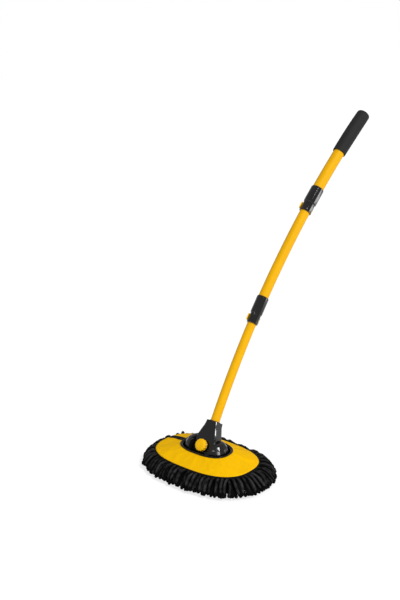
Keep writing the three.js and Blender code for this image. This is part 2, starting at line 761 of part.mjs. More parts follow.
const KNOB_SEAT = BOSS_TOP + GAP;
const STUD_TIP = BRAKE_SEAT + BRAKE_THICKNESS + GAP;

function brakePad() {
  const disc = rod(BRAKE_RADIUS, BRAKE_SEAT, BRAKE_SEAT + BRAKE_THICKNESS);
  return piece('brake_pad', towardsKnob(disc), BRASS);
}

function knobOutline() {
  const points = [];
  const count = KNOB_LOBES * POINTS_PER_LOBE;
  for (let index = 0; index < count; index += 1) {
    const angle = (index / count) * 2 * Math.PI;
    const radius = KNOB_RADIUS - KNOB_LOBE_DEPTH * (1 - Math.abs(Math.sin((angle * KNOB_LOBES) / 2)));
    points.push(new THREE.Vector2(radius * Math.cos(angle), radius * Math.sin(angle)));
  }
  return new THREE.Shape(points);
}

function clampKnob() {
  const cap = softSlab(knobOutline(), KNOB_SEAT, KNOB_SEAT + KNOB_HEIGHT, KNOB_DISH);
  const socket = rod(STUD_RADIUS + GAP, KNOB_SEAT - OVERRUN, KNOB_SEAT + STUD_SOCKET_DEPTH + GAP);
  const body = cut(solidOf(cap), solidOf(socket));
  return piece('clamp_knob', towardsKnob(geometryOf(body)), YELLOW_GLOSS);
}

function clampStud() {
  const stud = rod(STUD_RADIUS, STUD_TIP, KNOB_SEAT + STUD_SOCKET_DEPTH);
  return piece('clamp_stud', towardsKnob(stud), STEEL);
}

// Bowed pole. Pieces are made straight along the pole and then bent with it.

function bend(geometry) {
  const places = geometry.attributes.position;
  for (let index = 0; index < places.count; index += 1) {
    const height = places.getZ(index) - SOCKET_LENGTH;
    if (height > 0) {
      const reach = BOW_RADIUS - places.getX(index);
      const angle = height / BOW_RADIUS;
      places.setX(index, BOW_RADIUS - reach * Math.cos(angle));
      places.setZ(index, SOCKET_LENGTH + reach * Math.sin(angle));
    }
  }
  return geometry;
}

function bowedTube(radius, start, end) {
  const steps = Math.round((end - start) / TUBE_RING_STEP);
  const heights = [];
  for (let step = 0; step <= steps; step += 1) {
    heights.push(THREE.MathUtils.lerp(start, end, step / steps));
  }
  const outside = heights.map((height) => [radius, height]);
  const inside = heights.map((height) => [radius - TUBE_WALL, height]).reverse();
  return bend(turned([...outside, ...inside, outside[0]]));
}

function lowerTube() {
  const tube = solidOf(bowedTube(LOWER_TUBE_RADIUS, TUBE_SEAT, LOWER_TUBE_END));
  const turn = -THREE.MathUtils.radToDeg(BOW_TURN);
  const hole = socketScrewHole(SOCKET_SCREW_RADIUS + GAP).rotate([0, 0, turn]);
  return piece('lower_tube', geometryOf(cut(tube, hole)), YELLOW_TUBE);
}

function guideBush(name, tubeRadius, outerTubeRadius, tubeEnd) {
  const spigot = tubeRadius - TUBE_WALL - GAP;
  const collar = outerTubeRadius - TUBE_WALL - GAP;
  const seat = tubeEnd + GAP;
  const profile = [
    [0, seat - BUSH_SPIGOT], [spigot, seat - BUSH_SPIGOT], [spigot, seat],
    [collar, seat], [collar, seat + BUSH_COLLAR], [0, seat + BUSH_COLLAR],
  ];
  return piece(name, bend(turned(profile)), GREY_PLASTIC);
}

function endPlug() {
  const spigot = UPPER_TUBE_RADIUS - TUBE_WALL - GAP;
  const seat = UPPER_TUBE_END + GAP;
  const profile = [
    [0, seat - PLUG_SPIGOT], [spigot, seat - PLUG_SPIGOT], [spigot, seat],
    [UPPER_TUBE_RADIUS, seat], [UPPER_TUBE_RADIUS, seat + PLUG_CAP], [0, seat + PLUG_CAP],
  ];
  return piece('end_plug', bend(turned(profile)), GREY_PLASTIC);
}

// Flip lock, made about +Z at its own start and with its open side towards +X

function lockSizes(innerTube, outerTube) {
  const linerInner = innerTube + GAP;
  const linerOuter = linerInner + LINER_THICKNESS;
  const neckInner = linerOuter + GAP;
  const neckOuter = neckInner + NECK_WALL;
  const barrelInner = outerTube + GAP;
  const leverInner = neckOuter + LEVER_CLEARANCE;
  return {
    linerInner,
    linerOuter,
    neckInner,
    neckOuter,
    barrelInner,
    barrelOuter: barrelInner + BARREL_WALL,
    leverInner,
    pivot: leverInner + LEVER_THICKNESS + GAP,
  };
}

function lockShell(sizes) {
  const length = NECK_LENGTH + BARREL_LENGTH;
  const outline = [
    [0, 0], [sizes.neckInner + NECK_RIM_WALL, 0], [sizes.neckInner + NECK_RIM_WALL, NECK_RIM],
    [sizes.neckOuter, NECK_RIM + LOCK_CHAMFER], [sizes.neckOuter, NECK_LENGTH - LOCK_CHAMFER],
    [sizes.barrelOuter, NECK_LENGTH], [sizes.barrelOuter, length - LOCK_CHAMFER],
    [sizes.barrelOuter - LOCK_CHAMFER, length], [0, length],
  ];
  return solidOf(turned(outline, LOCK_SIDES));
}

// The two ears that hold the lever's pin
function lockEars(sizes) {
  const ears = [];
  const middle = NECK_LENGTH / 2;
  const inner = KNUCKLE_HEIGHT / 2 + GAP;
  for (const bottom of [middle - inner - EAR_HEIGHT, middle + inner]) {
    const top = bottom + EAR_HEIGHT;
    const eye = rod(KNUCKLE_RADIUS, bottom, top).translate(0, sizes.pivot, 0);
    const web = block(-KNUCKLE_RADIUS, KNUCKLE_RADIUS, sizes.neckInner + GAP, sizes.pivot, bottom, top);
    ears.push(solidOf(eye).add(solidOf(web)));
  }
  return ears;
}

// The shoe that the lever's cam presses, or its window when it is given a clearance and an overrun
function shoeBlock(sizes, clearance, overrun) {
  const across = SHOE_WIDTH / 2 + clearance;
  const along = KNUCKLE_HEIGHT / 2 + clearance;
  const face = sizes.pivot - KNUCKLE_RADIUS - GAP;
  const middle = NECK_LENGTH / 2;
  return solidOf(block(
    -across, across, sizes.linerInner + LINER_THICKNESS / 2, face + overrun,
    middle - along, middle + along));
}

function rivetHole(sizes, radius) {
  const inner = sizes.barrelInner - TUBE_WALL - OVERRUN;
  const hole = rod(radius, inner, sizes.barrelOuter + OVERRUN, SMALL_SIDES);
  return hole.rotateY(-Math.PI / 2).translate(0, 0, NECK_LENGTH + RIVET_STEP);
}

function leverPinHole(sizes) {
  const radius = LEVER_PIN_RADIUS + GAP;
  return rod(radius, 0, NECK_LENGTH, SMALL_SIDES).translate(0, sizes.pivot, 0);
}

function placeOnPole(geometry, start) {
  return bend(geometry.rotateZ(LOCK_FACING).translate(0, 0, start));
}

function lockBody(name, sizes, start) {
  const neckBore = rod(sizes.neckInner, -OVERRUN, NECK_LENGTH);
  const barrelBore = rod(sizes.barrelInner, NECK_LENGTH - GAP, NECK_LENGTH + BARREL_LENGTH + OVERRUN);
  const pinHole = leverPinHole(sizes);
  const body = cut(
    join(lockShell(sizes), ...lockEars(sizes)), solidOf(neckBore), solidOf(barrelBore),
    solidOf(pinHole), shoeBlock(sizes, GAP, OVERRUN), solidOf(rivetHole(sizes, RIVET_RADIUS + GAP)));
  return piece(`${name}_body`, placeOnPole(geometryOf(body), start), BLACK_GLOSS);
}

function lockLiner(name, sizes, start) {
  const bottom = (NECK_LENGTH - LINER_LENGTH) / 2;
  const ring = solidOf(sleeve(sizes.linerInner, sizes.linerOuter, bottom, bottom + LINER_LENGTH));
  const body = join(ring, shoeBlock(sizes, 0, 0));
  return piece(`${name}_liner`, placeOnPole(geometryOf(body), start), GREY_PLASTIC);
}

function lockPin(name, sizes, start) {
  const half = KNUCKLE_HEIGHT / 2 + GAP + EAR_HEIGHT;
  const middle = NECK_LENGTH / 2;
  const pin = rod(LEVER_PIN_RADIUS, middle - half, middle + half, SMALL_SIDES);
  return piece(`${name}_pin`, placeOnPole(pin.translate(0, sizes.pivot, 0), start), STEEL);
}

function lockRivet(name, sizes, start) {
  const tip = sizes.barrelInner - GAP - TUBE_WALL;
  const seat = sizes.barrelOuter + GAP;
  const profile = [
    [0, tip], [RIVET_RADIUS, tip], [RIVET_RADIUS, seat], [RIVET_HEAD_RADIUS, seat],
    [RIVET_HEAD_RADIUS / 2, seat + RIVET_HEAD], [0, seat + RIVET_HEAD],
  ];
  const rivet = turned(profile, SMALL_SIDES).rotateY(-Math.PI / 2);
  rivet.translate(0, 0, NECK_LENGTH + RIVET_STEP);
  return piece(`${name}_rivet`, placeOnPole(rivet, start), STEEL);
}

// A curved plate between two radii and two angles
function curvedPlate(inner, outer, from, to, bottom, top) {
  const shape = new THREE.Shape();
  shape.absarc(0, 0, outer, from, to, false);
  shape.absarc(0, 0, inner, to, from, true);
  const geometry = new THREE.ExtrudeGeometry(shape, {
    depth: top - bottom, bevelEnabled: false, curveSegments: SMALL_SIDES,
  });
  return solidOf(geometry.translate(0, 0, bottom));
}

function lockLever(name, sizes, start) {
  const middle = NECK_LENGTH / 2;
  const outer = sizes.leverInner + LEVER_THICKNESS;
  const half = KNUCKLE_HEIGHT / 2;
  const plate = curvedPlate(
    sizes.leverInner, outer, LEVER_START, LEVER_END, middle - LEVER_LENGTH / 2, middle + LEVER_LENGTH / 2);
  const arm = curvedPlate(
    sizes.leverInner, outer, LEVER_ARM_START, (LEVER_START + LEVER_END) / 2, middle - half, middle + half);
  const knuckle = rod(KNUCKLE_RADIUS, middle - half, middle + half).translate(0, sizes.pivot, 0);
  const body = cut(join(plate, arm, solidOf(knuckle)), solidOf(leverPinHole(sizes)));
  return piece(`${name}_lever`, placeOnPole(geometryOf(body), start), YELLOW_GLOSS);
}

function lockPieces(name, sizes, start) {
  return [
    lockBody(name, sizes, start),
    lockLiner(name, sizes, start),
    lockPin(name, sizes, start),
    lockRivet(name, sizes, start),
    lockLever(name, sizes, start),
  ];
}

// A thick tube starts above its lock's neck and has a hole where the lock is riveted on
function rivetedTube(name, radius, end, sizes, lockStart) {
  const tube = solidOf(bowedTube(radius, lockStart + NECK_LENGTH, end));
  const hole = placeOnPole(rivetHole(sizes, RIVET_RADIUS + GAP), lockStart);
  return piece(name, geometryOf(cut(tube, solidOf(hole))), YELLOW_TUBE);
}

// Grip

function foamGrip() {
  const seat = UPPER_TUBE_END + GAP + PLUG_CAP + GAP;
  const end = seat + GRIP_DOME;
  const inner = UPPER_TUBE_RADIUS + GAP;
  const middle = (GRIP_START + end) / 2;
  const top = [];
  for (let step = 0; step <= GRIP_ROUND_STEPS; step += 1) {
    const angle = (step / GRIP_ROUND_STEPS) * (Math.PI / 2);
    top.push([
      GRIP_RADIUS - GRIP_ROUNDING + GRIP_ROUNDING * Math.cos(angle),
      end - GRIP_ROUNDING / 2 - GRIP_ROUNDING + GRIP_ROUNDING * Math.sin(angle),
    ]);
  }
  const profile = [
    [inner, GRIP_START], [GRIP_RADIUS - GRIP_ROUNDING / 2, GRIP_START],
    [GRIP_RADIUS, GRIP_START + GRIP_ROUNDING / 2], [GRIP_RADIUS + GRIP_SWELL, middle],
    ...top, [0, end], [0, seat], [inner, seat], [inner, middle], [inner, GRIP_START],
  ];
  return piece('foam_grip', bend(turned(profile)), BLACK_FOAM);
}

// Whole brush

function head() {
  const group = new THREE.Group();
  group.add(
    ...noodlePads(), foamPad(), basePlate(), crownFoam(), topCover(), edgeBinding(), ...slitTapes(),
    piece('slit_closure_strip', closureStrip(0, 0), BLACK_TAPE),
    swivelBracket(), hingePin(), ...bracketScrews());
  return group;
}

function pole() {
  const lowerLock = lockSizes(LOWER_TUBE_RADIUS, MID_TUBE_RADIUS);
  const upperLock = lockSizes(MID_TUBE_RADIUS, UPPER_TUBE_RADIUS);
  const group = new THREE.Group();
  group.rotation.z = BOW_TURN;
  group.add(
    lowerTube(),
    guideBush('lower_guide_bush', LOWER_TUBE_RADIUS, MID_TUBE_RADIUS, LOWER_TUBE_END),
    rivetedTube('mid_tube', MID_TUBE_RADIUS, MID_TUBE_END, lowerLock, LOWER_LOCK_START),
    ...lockPieces('lower_lock', lowerLock, LOWER_LOCK_START),
    guideBush('mid_guide_bush', MID_TUBE_RADIUS, UPPER_TUBE_RADIUS, MID_TUBE_END),
    rivetedTube('upper_tube', UPPER_TUBE_RADIUS, UPPER_TUBE_END, upperLock, UPPER_LOCK_START),
    ...lockPieces('upper_lock', upperLock, UPPER_LOCK_START),
    endPlug(),
    foamGrip());
  return group;
}

function tiltingPart() {
  const group = new THREE.Group();
  group.position.z = HINGE_HEIGHT;
  group.rotation.x = -LEAN;
  group.add(
    poleSocket(), threadedInsert(), socketScrew(), brakePad(), clampKnob(), clampStud(), pole());
  return group;
}

const brush = new THREE.Group();
brush.add(head(), tiltingPart());

export default brush;
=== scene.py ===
import json
from math import acos, atan2, cos, hypot, pi, radians, sin

import bmesh
import bpy
import numpy as np
from mathutils import Matrix, Vector


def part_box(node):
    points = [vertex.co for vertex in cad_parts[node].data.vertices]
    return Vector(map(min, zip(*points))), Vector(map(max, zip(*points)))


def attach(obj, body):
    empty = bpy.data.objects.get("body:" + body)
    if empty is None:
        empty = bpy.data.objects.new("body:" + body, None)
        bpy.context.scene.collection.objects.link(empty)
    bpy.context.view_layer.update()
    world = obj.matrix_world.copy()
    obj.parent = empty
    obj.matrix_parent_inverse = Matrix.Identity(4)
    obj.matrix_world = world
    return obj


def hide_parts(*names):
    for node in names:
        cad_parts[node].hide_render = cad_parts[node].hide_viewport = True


# A car wash brush dressed for its picture. Metres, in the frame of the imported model.

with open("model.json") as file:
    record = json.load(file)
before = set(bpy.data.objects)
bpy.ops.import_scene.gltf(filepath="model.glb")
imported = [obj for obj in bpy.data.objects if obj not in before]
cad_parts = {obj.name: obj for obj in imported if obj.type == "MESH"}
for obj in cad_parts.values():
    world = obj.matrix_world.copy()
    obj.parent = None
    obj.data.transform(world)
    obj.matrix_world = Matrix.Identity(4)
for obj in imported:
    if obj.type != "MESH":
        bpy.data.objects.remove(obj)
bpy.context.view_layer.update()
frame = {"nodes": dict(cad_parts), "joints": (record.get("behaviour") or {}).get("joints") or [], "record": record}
JOINTS = {joint["name"]: joint for joint in frame["joints"]}
MM = 0.001
FULL_TURN = 2 * pi
QUARTER_TURN = pi / 2
rng = np.random.default_rng(7)

# Camera, with its sensor and its lens in millimetres
CAMERA_PLACE = Vector((1.14824, -1.39617, 0.9352))
CAMERA_AZIMUTH = radians(39.88)
CAMERA_ELEVATION = radians(16.82)
SENSOR = 36
LENS = 54.98

# Head and bracket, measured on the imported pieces
HEAD_ROUNDNESS = 2.6
TUB_ROUNDNESS = 2.6
CROWN_RISE = 21.5 * MM
BINDING_ABOVE_EDGE = 0.55 * MM
LIP_OVERHANG = 4 * MM
TUB_WALL = 2.5 * MM
LIP_REACH = TUB_WALL + LIP_OVERHANG
COVER_LOW, COVER_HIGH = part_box("top_cover")
BINDING_LOW, BINDING_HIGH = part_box("edge_binding")
BRACKET_LOW, BRACKET_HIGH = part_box("swivel_bracket")
HEAD_HALF_LENGTH, HEAD_HALF_WIDTH, _ = (COVER_HIGH - COVER_LOW) / 2
LIP_HALF_LENGTH, LIP_HALF_WIDTH, _ = (BRACKET_HIGH - BRACKET_LOW) / 2
TUB_HALF_LENGTH = LIP_HALF_LENGTH - LIP_REACH
TUB_HALF_WIDTH = LIP_HALF_WIDTH - LIP_REACH
HEAD_OVAL = (HEAD_HALF_LENGTH, HEAD_HALF_WIDTH, HEAD_ROUNDNESS)
TUB_OVAL = (TUB_HALF_LENGTH, TUB_HALF_WIDTH, TUB_ROUNDNESS)
COVER_EDGE = BINDING_HIGH.z - BINDING_ABOVE_EDGE

# Pole: its ways, and the bow that starts at the socket's mouth
HINGE = Vector(JOINTS["head_tilt"]["pos_m"])
KNOB_WAY = Vector(JOINTS["knob_turn"]["axis"]).normalized()
SIDE_WAY = Vector((1, 0, 0))
POLE_WAY = KNOB_WAY.cross(SIDE_WAY).normalized()
BOW_CENTRE = Vector(JOINTS["lower_telescope"]["pos_m"])
BOW_START = (BOW_CENTRE - HINGE).dot(POLE_WAY)
BOW_ARM = BOW_CENTRE - HINGE - POLE_WAY * BOW_START
BOW_RADIUS = BOW_ARM.length
BOW_WAY = BOW_ARM.normalized()
BOW_SIDE = POLE_WAY.cross(BOW_WAY).normalized()


# Places and sizes on the pole

def from_hinge(points, *ways):
    """World places of points given from the hinge along three ways."""
    places = np.array(HINGE)
    for part, way in zip(np.asarray(points, float).T, ways):
        places = places + np.outer(part, way)
    return places


def socket_places(points):
    """World places of (along the hinge, towards the knob, along the pole) points."""
    return from_hinge(points, SIDE_WAY, KNOB_WAY, POLE_WAY)


def knob_places(points):
    """World places of points about the knob's axis, with height along it."""
    return from_hinge(points, SIDE_WAY, POLE_WAY, KNOB_WAY)


def pole_places(points):
    """World places of (towards the bow's middle, sideways, along the pole) points."""
    points = np.asarray(points, float)
    height = np.maximum(points[:, 2] - BOW_START, 0)
    angle = height / BOW_RADIUS
    reach = BOW_RADIUS - points[:, 0]
    inward = np.where(height > 0, BOW_RADIUS - reach * np.cos(angle), points[:, 0])
    along = np.where(height > 0, BOW_START + reach * np.sin(angle), points[:, 2])
    return from_hinge(np.column_stack([inward, points[:, 1], along]), BOW_WAY, BOW_SIDE, POLE_WAY)


def pole_extent(node):
    """Lowest and highest place of a node along the pole's arc, and its reach from the arc."""
    heights, reaches = [], []
    for vertex in frame["nodes"][node].data.vertices:
        arm = vertex.co - HINGE
        inward = arm.dot(BOW_WAY)
        along = arm.dot(POLE_WAY)
        if along > BOW_START:
            past = along - BOW_START
            left = BOW_RADIUS - inward
            along = BOW_START + atan2(past, left) * BOW_RADIUS
            inward = BOW_RADIUS - hypot(left, past)
        heights.append(along)
        reaches.append(hypot(inward, arm.dot(BOW_SIDE)))
    return min(heights), max(heights), max(reaches)


TUBES = {"lower_tube": "socket", "mid_tube": "middle", "upper_tube": "upper"}
LOWER_RADIUS, MIDDLE_RADIUS, UPPER_RADIUS = (pole_extent(tube)[2] for tube in TUBES)


# Node materials

NOISE = "ShaderNodeTexNoise"
CELLS = "ShaderNodeTexVoronoi"
ORANGE_PEEL = 0.2 * MM
TUBE_WAVES = 0.1 * MM
CLOTH_WAVES = 1.5 * MM
PILE_WAVES = 1.2 * MM
TUFT_DEPTH = 0.7 * MM
RELIEF_SHARE = 0.4


def new_material(name):
    """A material with its node tree and its main shader."""
    material = bpy.data.materials.new(name)
    material.use_nodes = True
    return material, material.node_tree, material.node_tree.nodes["Principled BSDF"]


def new_node(tree, kind, **values):
    node = tree.nodes.new(kind)
    for name, value in values.items():
        node.inputs[name].default_value = value
    return node


def link(source, output, target, socket):
    source.id_data.links.new(source.outputs[output], target.inputs[socket])


def texture(tree, kind, scale, **values):
    """A texture in the piece's own space, its scale in features a metre."""
    node = new_node(tree, kind, Scale=scale, **values)
    link(tree.nodes.new("ShaderNodeTexCoord"), "Object", node, "Vector")
    return node


def product(first, second):
    node = first.id_data.nodes.new("ShaderNodeMath")
    node.operation = "MULTIPLY"
    link(first, "Fac", node, 0)
    link(second, "Fac", node, 1)
    return node


def colour_ramp(source, output, low, high, start=0.3, end=0.7):
    """A blend of two colours while an output goes from start to end."""
    node = source.id_data.nodes.new("ShaderNodeValToRGB")
    for stop, place, colour in zip(node.color_ramp.elements, (start, end), (low, high)):
        stop.position = place
        stop.color = (*colour, 1)
    link(source, output, node, "Fac")
    return node


def bump(source, output, strength, distance, before=None):
    """Relief from an output, laid over an earlier relief if one is given."""
    node = new_node(source.id_data, "ShaderNodeBump", Strength=strength, Distance=distance)
    link(source, output, node, "Height")
    if before is not None:
        link(before, "Normal", node, "Normal")
    return node


def rough_range(source, shader, low, high):
    spread = new_node(source.id_data, "ShaderNodeMapRange", **{"To Min": low, "To Max": high})
    link(source, "Fac", spread, "Value")
    link(spread, "Result", shader, "Roughness")


def dress_shader(shader, colour, relief, shine):
    link(colour, "Color", shader, "Base Color")
    link(relief, "Normal", shader, "Normal")
    shader.inputs["Specular IOR Level"].default_value = shine


def shade(colour, share):
    return [part * share for part in colour]


def moulded_plastic(name, colour, worn, roughness, grain, shine=0.5):
    """Moulded plastic with a faint orange peel, cloudy gloss and rubbed edges."""
    material, tree, shader = new_material(name)
    cloud = texture(tree, NOISE, 45, Detail=4)
    fine = texture(tree, NOISE, 900, Detail=3)
    geometry = tree.nodes.new("ShaderNodeNewGeometry")
    edge = colour_ramp(geometry, "Pointiness", (0, 0, 0), (1, 1, 1), 0.52, 0.60)
    body = colour_ramp(cloud, "Fac", colour, shade(colour, 1.18))
    mix = new_node(tree, "ShaderNodeMixRGB", Color2=(*worn, 1))
    link(edge, "Color", mix, "Fac")
    link(body, "Color", mix, "Color1")
    rough_range(cloud, shader, *roughness)
    dress_shader(shader, mix, bump(fine, "Fac", grain, ORANGE_PEEL), shine)
    return material


def lacquered_tube(name, colour):
    """Lacquer on drawn tube, slightly cloudy and slightly uneven."""
    material, tree, shader = new_material(name)
    cloud = texture(tree, NOISE, 30, Detail=3)
    fine = texture(tree, NOISE, 600, Detail=4)
    body = colour_ramp(cloud, "Fac", shade(colour, 0.94), colour)
    rough_range(cloud, shader, 0.42, 0.52)
    dress_shader(shader, body, bump(fine, "Fac", 0.12, TUBE_WAVES), 0.1)
    return material


def woven_cloth(name, colour, dark_share, thread, sheen=0):
    """Plain-woven cloth: two crossed thread waves, slight soiling and a soft sheen."""
    material, tree, shader = new_material(name)
    waves = []
    for direction in ("X", "Y"):
        wave = texture(tree, "ShaderNodeTexWave", 1 / (thread * 2), Distortion=0.6, Detail=1)
        wave.bands_direction = direction
        waves.append(wave)
    cloud = texture(tree, NOISE, 22, Detail=5)
    body = colour_ramp(cloud, "Fac", shade(colour, dark_share), colour)
    rough_range(cloud, shader, 0.72, 0.9)
    soft = bump(cloud, "Fac", 0.12, CLOTH_WAVES)
    weave = bump(product(*waves), "Value", 0.35, thread * RELIEF_SHARE, soft)
    dress_shader(shader, body, weave, 0.06)
    shader.inputs["Sheen Weight"].default_value = sheen
    return material


def chenille_pile(name, low, high):
    """Short dense pile as tufts, with painted shade: lower rows and undersides dark, tops lighter."""
    material, tree, shader = new_material(name)
    tufts = texture(tree, CELLS, 720, Detail=2)
    cloud = texture(tree, NOISE, 110, Detail=4)
    painted_light = tree.nodes.new("ShaderNodeAttribute")
    painted_light.attribute_name = "painted_light"
    # Painted shade: the painted light of each point, times a cloud, picks dark or light pile.
    body = colour_ramp(product(painted_light, cloud), "Value", low, high, 0.19, 0.50)
    soft = bump(cloud, "Fac", 0.5, PILE_WAVES)
    dress_shader(shader, body, bump(tufts, "Distance", 0.8, TUFT_DEPTH, soft), 0.1)
    shader.inputs["Roughness"].default_value = 0.95
    return material


def cell_foam(name, colour, cell):
    """Open foam: small cells pressed into a matte skin."""
    material, tree, shader = new_material(name)
    cells = texture(tree, CELLS, 1 / cell, Detail=2)
    cloud = texture(tree, NOISE, 60, Detail=4)
    body = colour_ramp(cloud, "Fac", shade(colour, 0.8), colour)
    rough_range(cloud, shader, 0.62, 0.8)
    dress_shader(shader, body, bump(cells, "Distance", 0.35, cell * RELIEF_SHARE), 0.25)
    return material


def turned_metal(name, colour, roughness):
    """Bare metal with fine brushed scratches."""
    material, tree, shader = new_material(name)
    scratch = texture(tree, NOISE, 1400, Detail=5)
    link(colour_ramp(scratch, "Fac", shade(colour, 0.85), colour), "Color", shader, "Base Color")
    rough_range(scratch, shader, roughness * 0.8, roughness * 1.3)
    shader.inputs["Metallic"].default_value = 1
    return material


BLACK = (0.004, 0.004, 0.0045)
WORN_BLACK = (0.012, 0.012, 0.013)
BLACK_GLOSS = moulded_plastic("black_gloss", BLACK, WORN_BLACK, (0.10, 0.16), 0.015)
BLACK_RIM = moulded_plastic("black_rim", BLACK, WORN_BLACK, (0.12, 0.2), 0.04, 0.2)
BLACK_TUB = moulded_plastic("black_tub", (0.006, 0.006, 0.006), (0.02, 0.02, 0.02), (0.24, 0.38), 0.12)
YELLOW_GLOSS = moulded_plastic(
    "yellow_gloss", (0.75, 0.41, 0.001), (0.8, 0.45, 0.005), (0.28, 0.42), 0.12, 0.15)
GREY_PLASTIC = moulded_plastic("grey_plastic", (0.22, 0.23, 0.24), (0.3, 0.3, 0.31), (0.4, 0.55), 0.15)
YELLOW_TUBE = lacquered_tube("yellow_tube", (0.75, 0.385, 0.0005))
YELLOW_CLOTH = woven_cloth("yellow_cloth", (0.84, 0.465, 0.0003), 0.95, 0.7 * MM)
BLACK_TAPE = woven_cloth("black_tape", (0.008, 0.008, 0.008), 0.7, 0.6 * MM, 0.02)
BACKING = woven_cloth("chenille_backing", (0.003, 0.003, 0.003), 0.7, 1.2 * MM)
# The low colour is painted shade on lower rows and undersides; the high colour is the lit tops.
CHENILLE = chenille_pile("chenille", (0.0006, 0.0006, 0.0006), (0.034, 0.034, 0.0345))
GRIP_FOAM = cell_foam("grip_foam", (0.013, 0.013, 0.0132), 0.9 * MM)
SPONGE = cell_foam("sponge", (0.72, 0.60, 0.32), 1.6 * MM)
STEEL = turned_metal("steel", (0.60, 0.61, 0.63), 0.3)
BRASS = turned_metal("brass", (0.72, 0.50, 0.20), 0.32)


# Mesh helpers

MERGE_DISTANCE = 0.01 * MM
TURNED_CREASE = radians(30)
EDGE_CREASE = radians(35)
WIDE_CREASE = radians(50)


def new_object(name, data):
    thing = bpy.data.objects.new(name, data)
    bpy.context.scene.collection.objects.link(thing)
    return thing


def mesh_object(name, places, faces, material):
    mesh = bpy.data.meshes.new(name)
    mesh.from_pydata(places, [], faces)
    mesh.materials.append(material)
    mesh.validate()
    mesh.shade_smooth()
    return new_object(name, mesh)


def face_outwards(thing, merge=0):
    """Turns the faces outwards, after merging points nearer than a distance."""
    shape = bmesh.new()
    shape.from_mesh(thing.data)
    if merge:
        bmesh.ops.remove_doubles(shape, verts=shape.verts, dist=merge)
    bmesh.ops.recalc_face_normals(shape, faces=shape.faces)
    shape.to_mesh(thing.data)
    shape.free()
    return thing


def crease(thing, angle):
    thing.data.shade_smooth()
    thing.data.set_sharp_from_angle(angle=angle)
    return thing


def apply_modifiers(thing):
    graph = bpy.context.evaluated_depsgraph_get()
    mesh = bpy.data.meshes.new_from_object(thing.evaluated_get(graph))
    old = thing.data
    thing.modifiers.clear()
    thing.data = mesh
    bpy.data.meshes.remove(old)


def soften_edges(thing, width, segments, limit):
    """Rounds the edges that turn by more than a limit in degrees, and keeps flat faces flat."""
    modifier = thing.modifiers.new("edge_rounding", "BEVEL")
    modifier.width = width
    modifier.segments = segments
    modifier.angle_limit = radians(limit)
    apply_modifiers(thing)
    return crease(thing, EDGE_CREASE)


def circle(angles, radius):
    return np.column_stack([radius * np.cos(angles), radius * np.sin(angles)])


def at_height(places, height):
    return np.column_stack([places, np.full(len(places), height)])


def grid_faces(rows, columns, close_rows=False, close_columns=True):
    """Faces of a grid of places, row after row."""
    faces = []
    for row in range(rows if close_rows else rows - 1):
        here = row * columns
        below = (row + 1) % rows * columns
        for column in range(columns if close_columns else columns - 1):
            beside = (column + 1) % columns
            faces.append((here + column, here + beside, below + beside, below + column))
    return faces


def capped_faces(rows, columns):
    """Faces of a row of rings, closed at both ends."""
    last = (rows - 1) * columns
    faces = grid_faces(rows, columns)
    faces.append(tuple(range(columns)))
    faces.append(tuple(last + column for column in reversed(range(columns))))
    return faces


def capped_piece(name, places, columns, material):
    """A piece from a row of rings of places, closed at both ends."""
    faces = capped_faces(len(places) // columns, columns)
    return face_outwards(mesh_object(name, places, faces, material))


def looped_piece(name, rings, material):
    """A piece from rings of places, the last of which meets the first."""
    faces = grid_faces(len(rings), len(rings[0]), close_rows=True)
    return face_outwards(mesh_object(name, np.concatenate(rings), faces, material))


def turned_piece(name, profile, material, places_of, sides=96, turn=0.0):
    """A round piece about an axis from (radius, height) points; a radius of zero closes it."""
    angles = turn + np.arange(sides) * FULL_TURN / sides
    rings = [at_height(circle(angles, radius), height) for radius, height in profile]
    faces = grid_faces(len(profile), sides, close_rows=profile[0] == profile[-1])
    thing = mesh_object(name, places_of(np.concatenate(rings)), faces, material)
    return crease(face_outwards(thing, MERGE_DISTANCE), TURNED_CREASE)


def finish_piece(thing, body, slot, *nodes):
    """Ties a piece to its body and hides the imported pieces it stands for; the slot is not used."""
    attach(thing, body)
    if nodes:
        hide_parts(*nodes)
    return thing


# Outlines

OVAL_STEPS = 8000
TANGENT_STEPS = 4


def rounded(corner, before, after, radius, steps=5):
    """Points of a round corner between two straight runs of a profile."""
    corner, before, after = (np.array(point, float) for point in (corner, before, after))
    first = corner + (before - corner) / np.linalg.norm(before - corner) * radius
    last = corner + (after - corner) / np.linalg.norm(after - corner) * radius
    shares = np.linspace(0, 1, steps)[:, None]
    curve = (1 - shares) ** 2 * first + 2 * shares * (1 - shares) * corner + shares ** 2 * last
    return [tuple(point) for point in curve]


def pill_profile(out_low, out_high, low, high, corner, steps=4):
    """A rectangle with round corners, as (outward, height) points."""
    left, right = out_low + corner, out_high - corner
    foot, head = low + corner, high - corner
    return [
        (x + corner * cos(angle), z + corner * sin(angle))
        for quarter, (x, z) in enumerate(((right, head), (left, head), (left, foot), (right, foot)))
        for angle in np.linspace(quarter, quarter + 1, steps + 1) * QUARTER_TURN
    ]


def oval(angles, half_length, half_width, roundness):
    """Places on an oval, squarer than an ellipse when its roundness is over 2."""
    power = 2 / roundness
    across = np.cos(angles)
    along = np.sin(angles)
    return np.stack([
        half_length * np.sign(across) * np.abs(across) ** power,
        half_width * np.sign(along) * np.abs(along) ** power,
    ], 1)


def even_oval(count, half_length, half_width, roundness, start_share=0.0):
    """Even places along an oval, their outward directions and its length."""
    dense = oval(np.linspace(0, FULL_TURN, OVAL_STEPS + 1), half_length, half_width, roundness)
    steps = np.linalg.norm(np.diff(dense, axis=0), axis=1)
    lengths = np.concatenate([[0], np.cumsum(steps)])
    around = lengths[-1]
    wanted = (np.arange(count) + start_share) / count * around
    ahead = (wanted + around / OVAL_STEPS * TANGENT_STEPS) % around
    places, next_places = (
        np.stack([np.interp(where, lengths, dense[:, axis]) for axis in (0, 1)], 1)
        for where in (wanted, ahead)
    )
    tangent = next_places - places
    tangent /= np.linalg.norm(tangent, axis=1)[:, None]
    return places, np.stack([tangent[:, 1], -tangent[:, 0]], 1), around


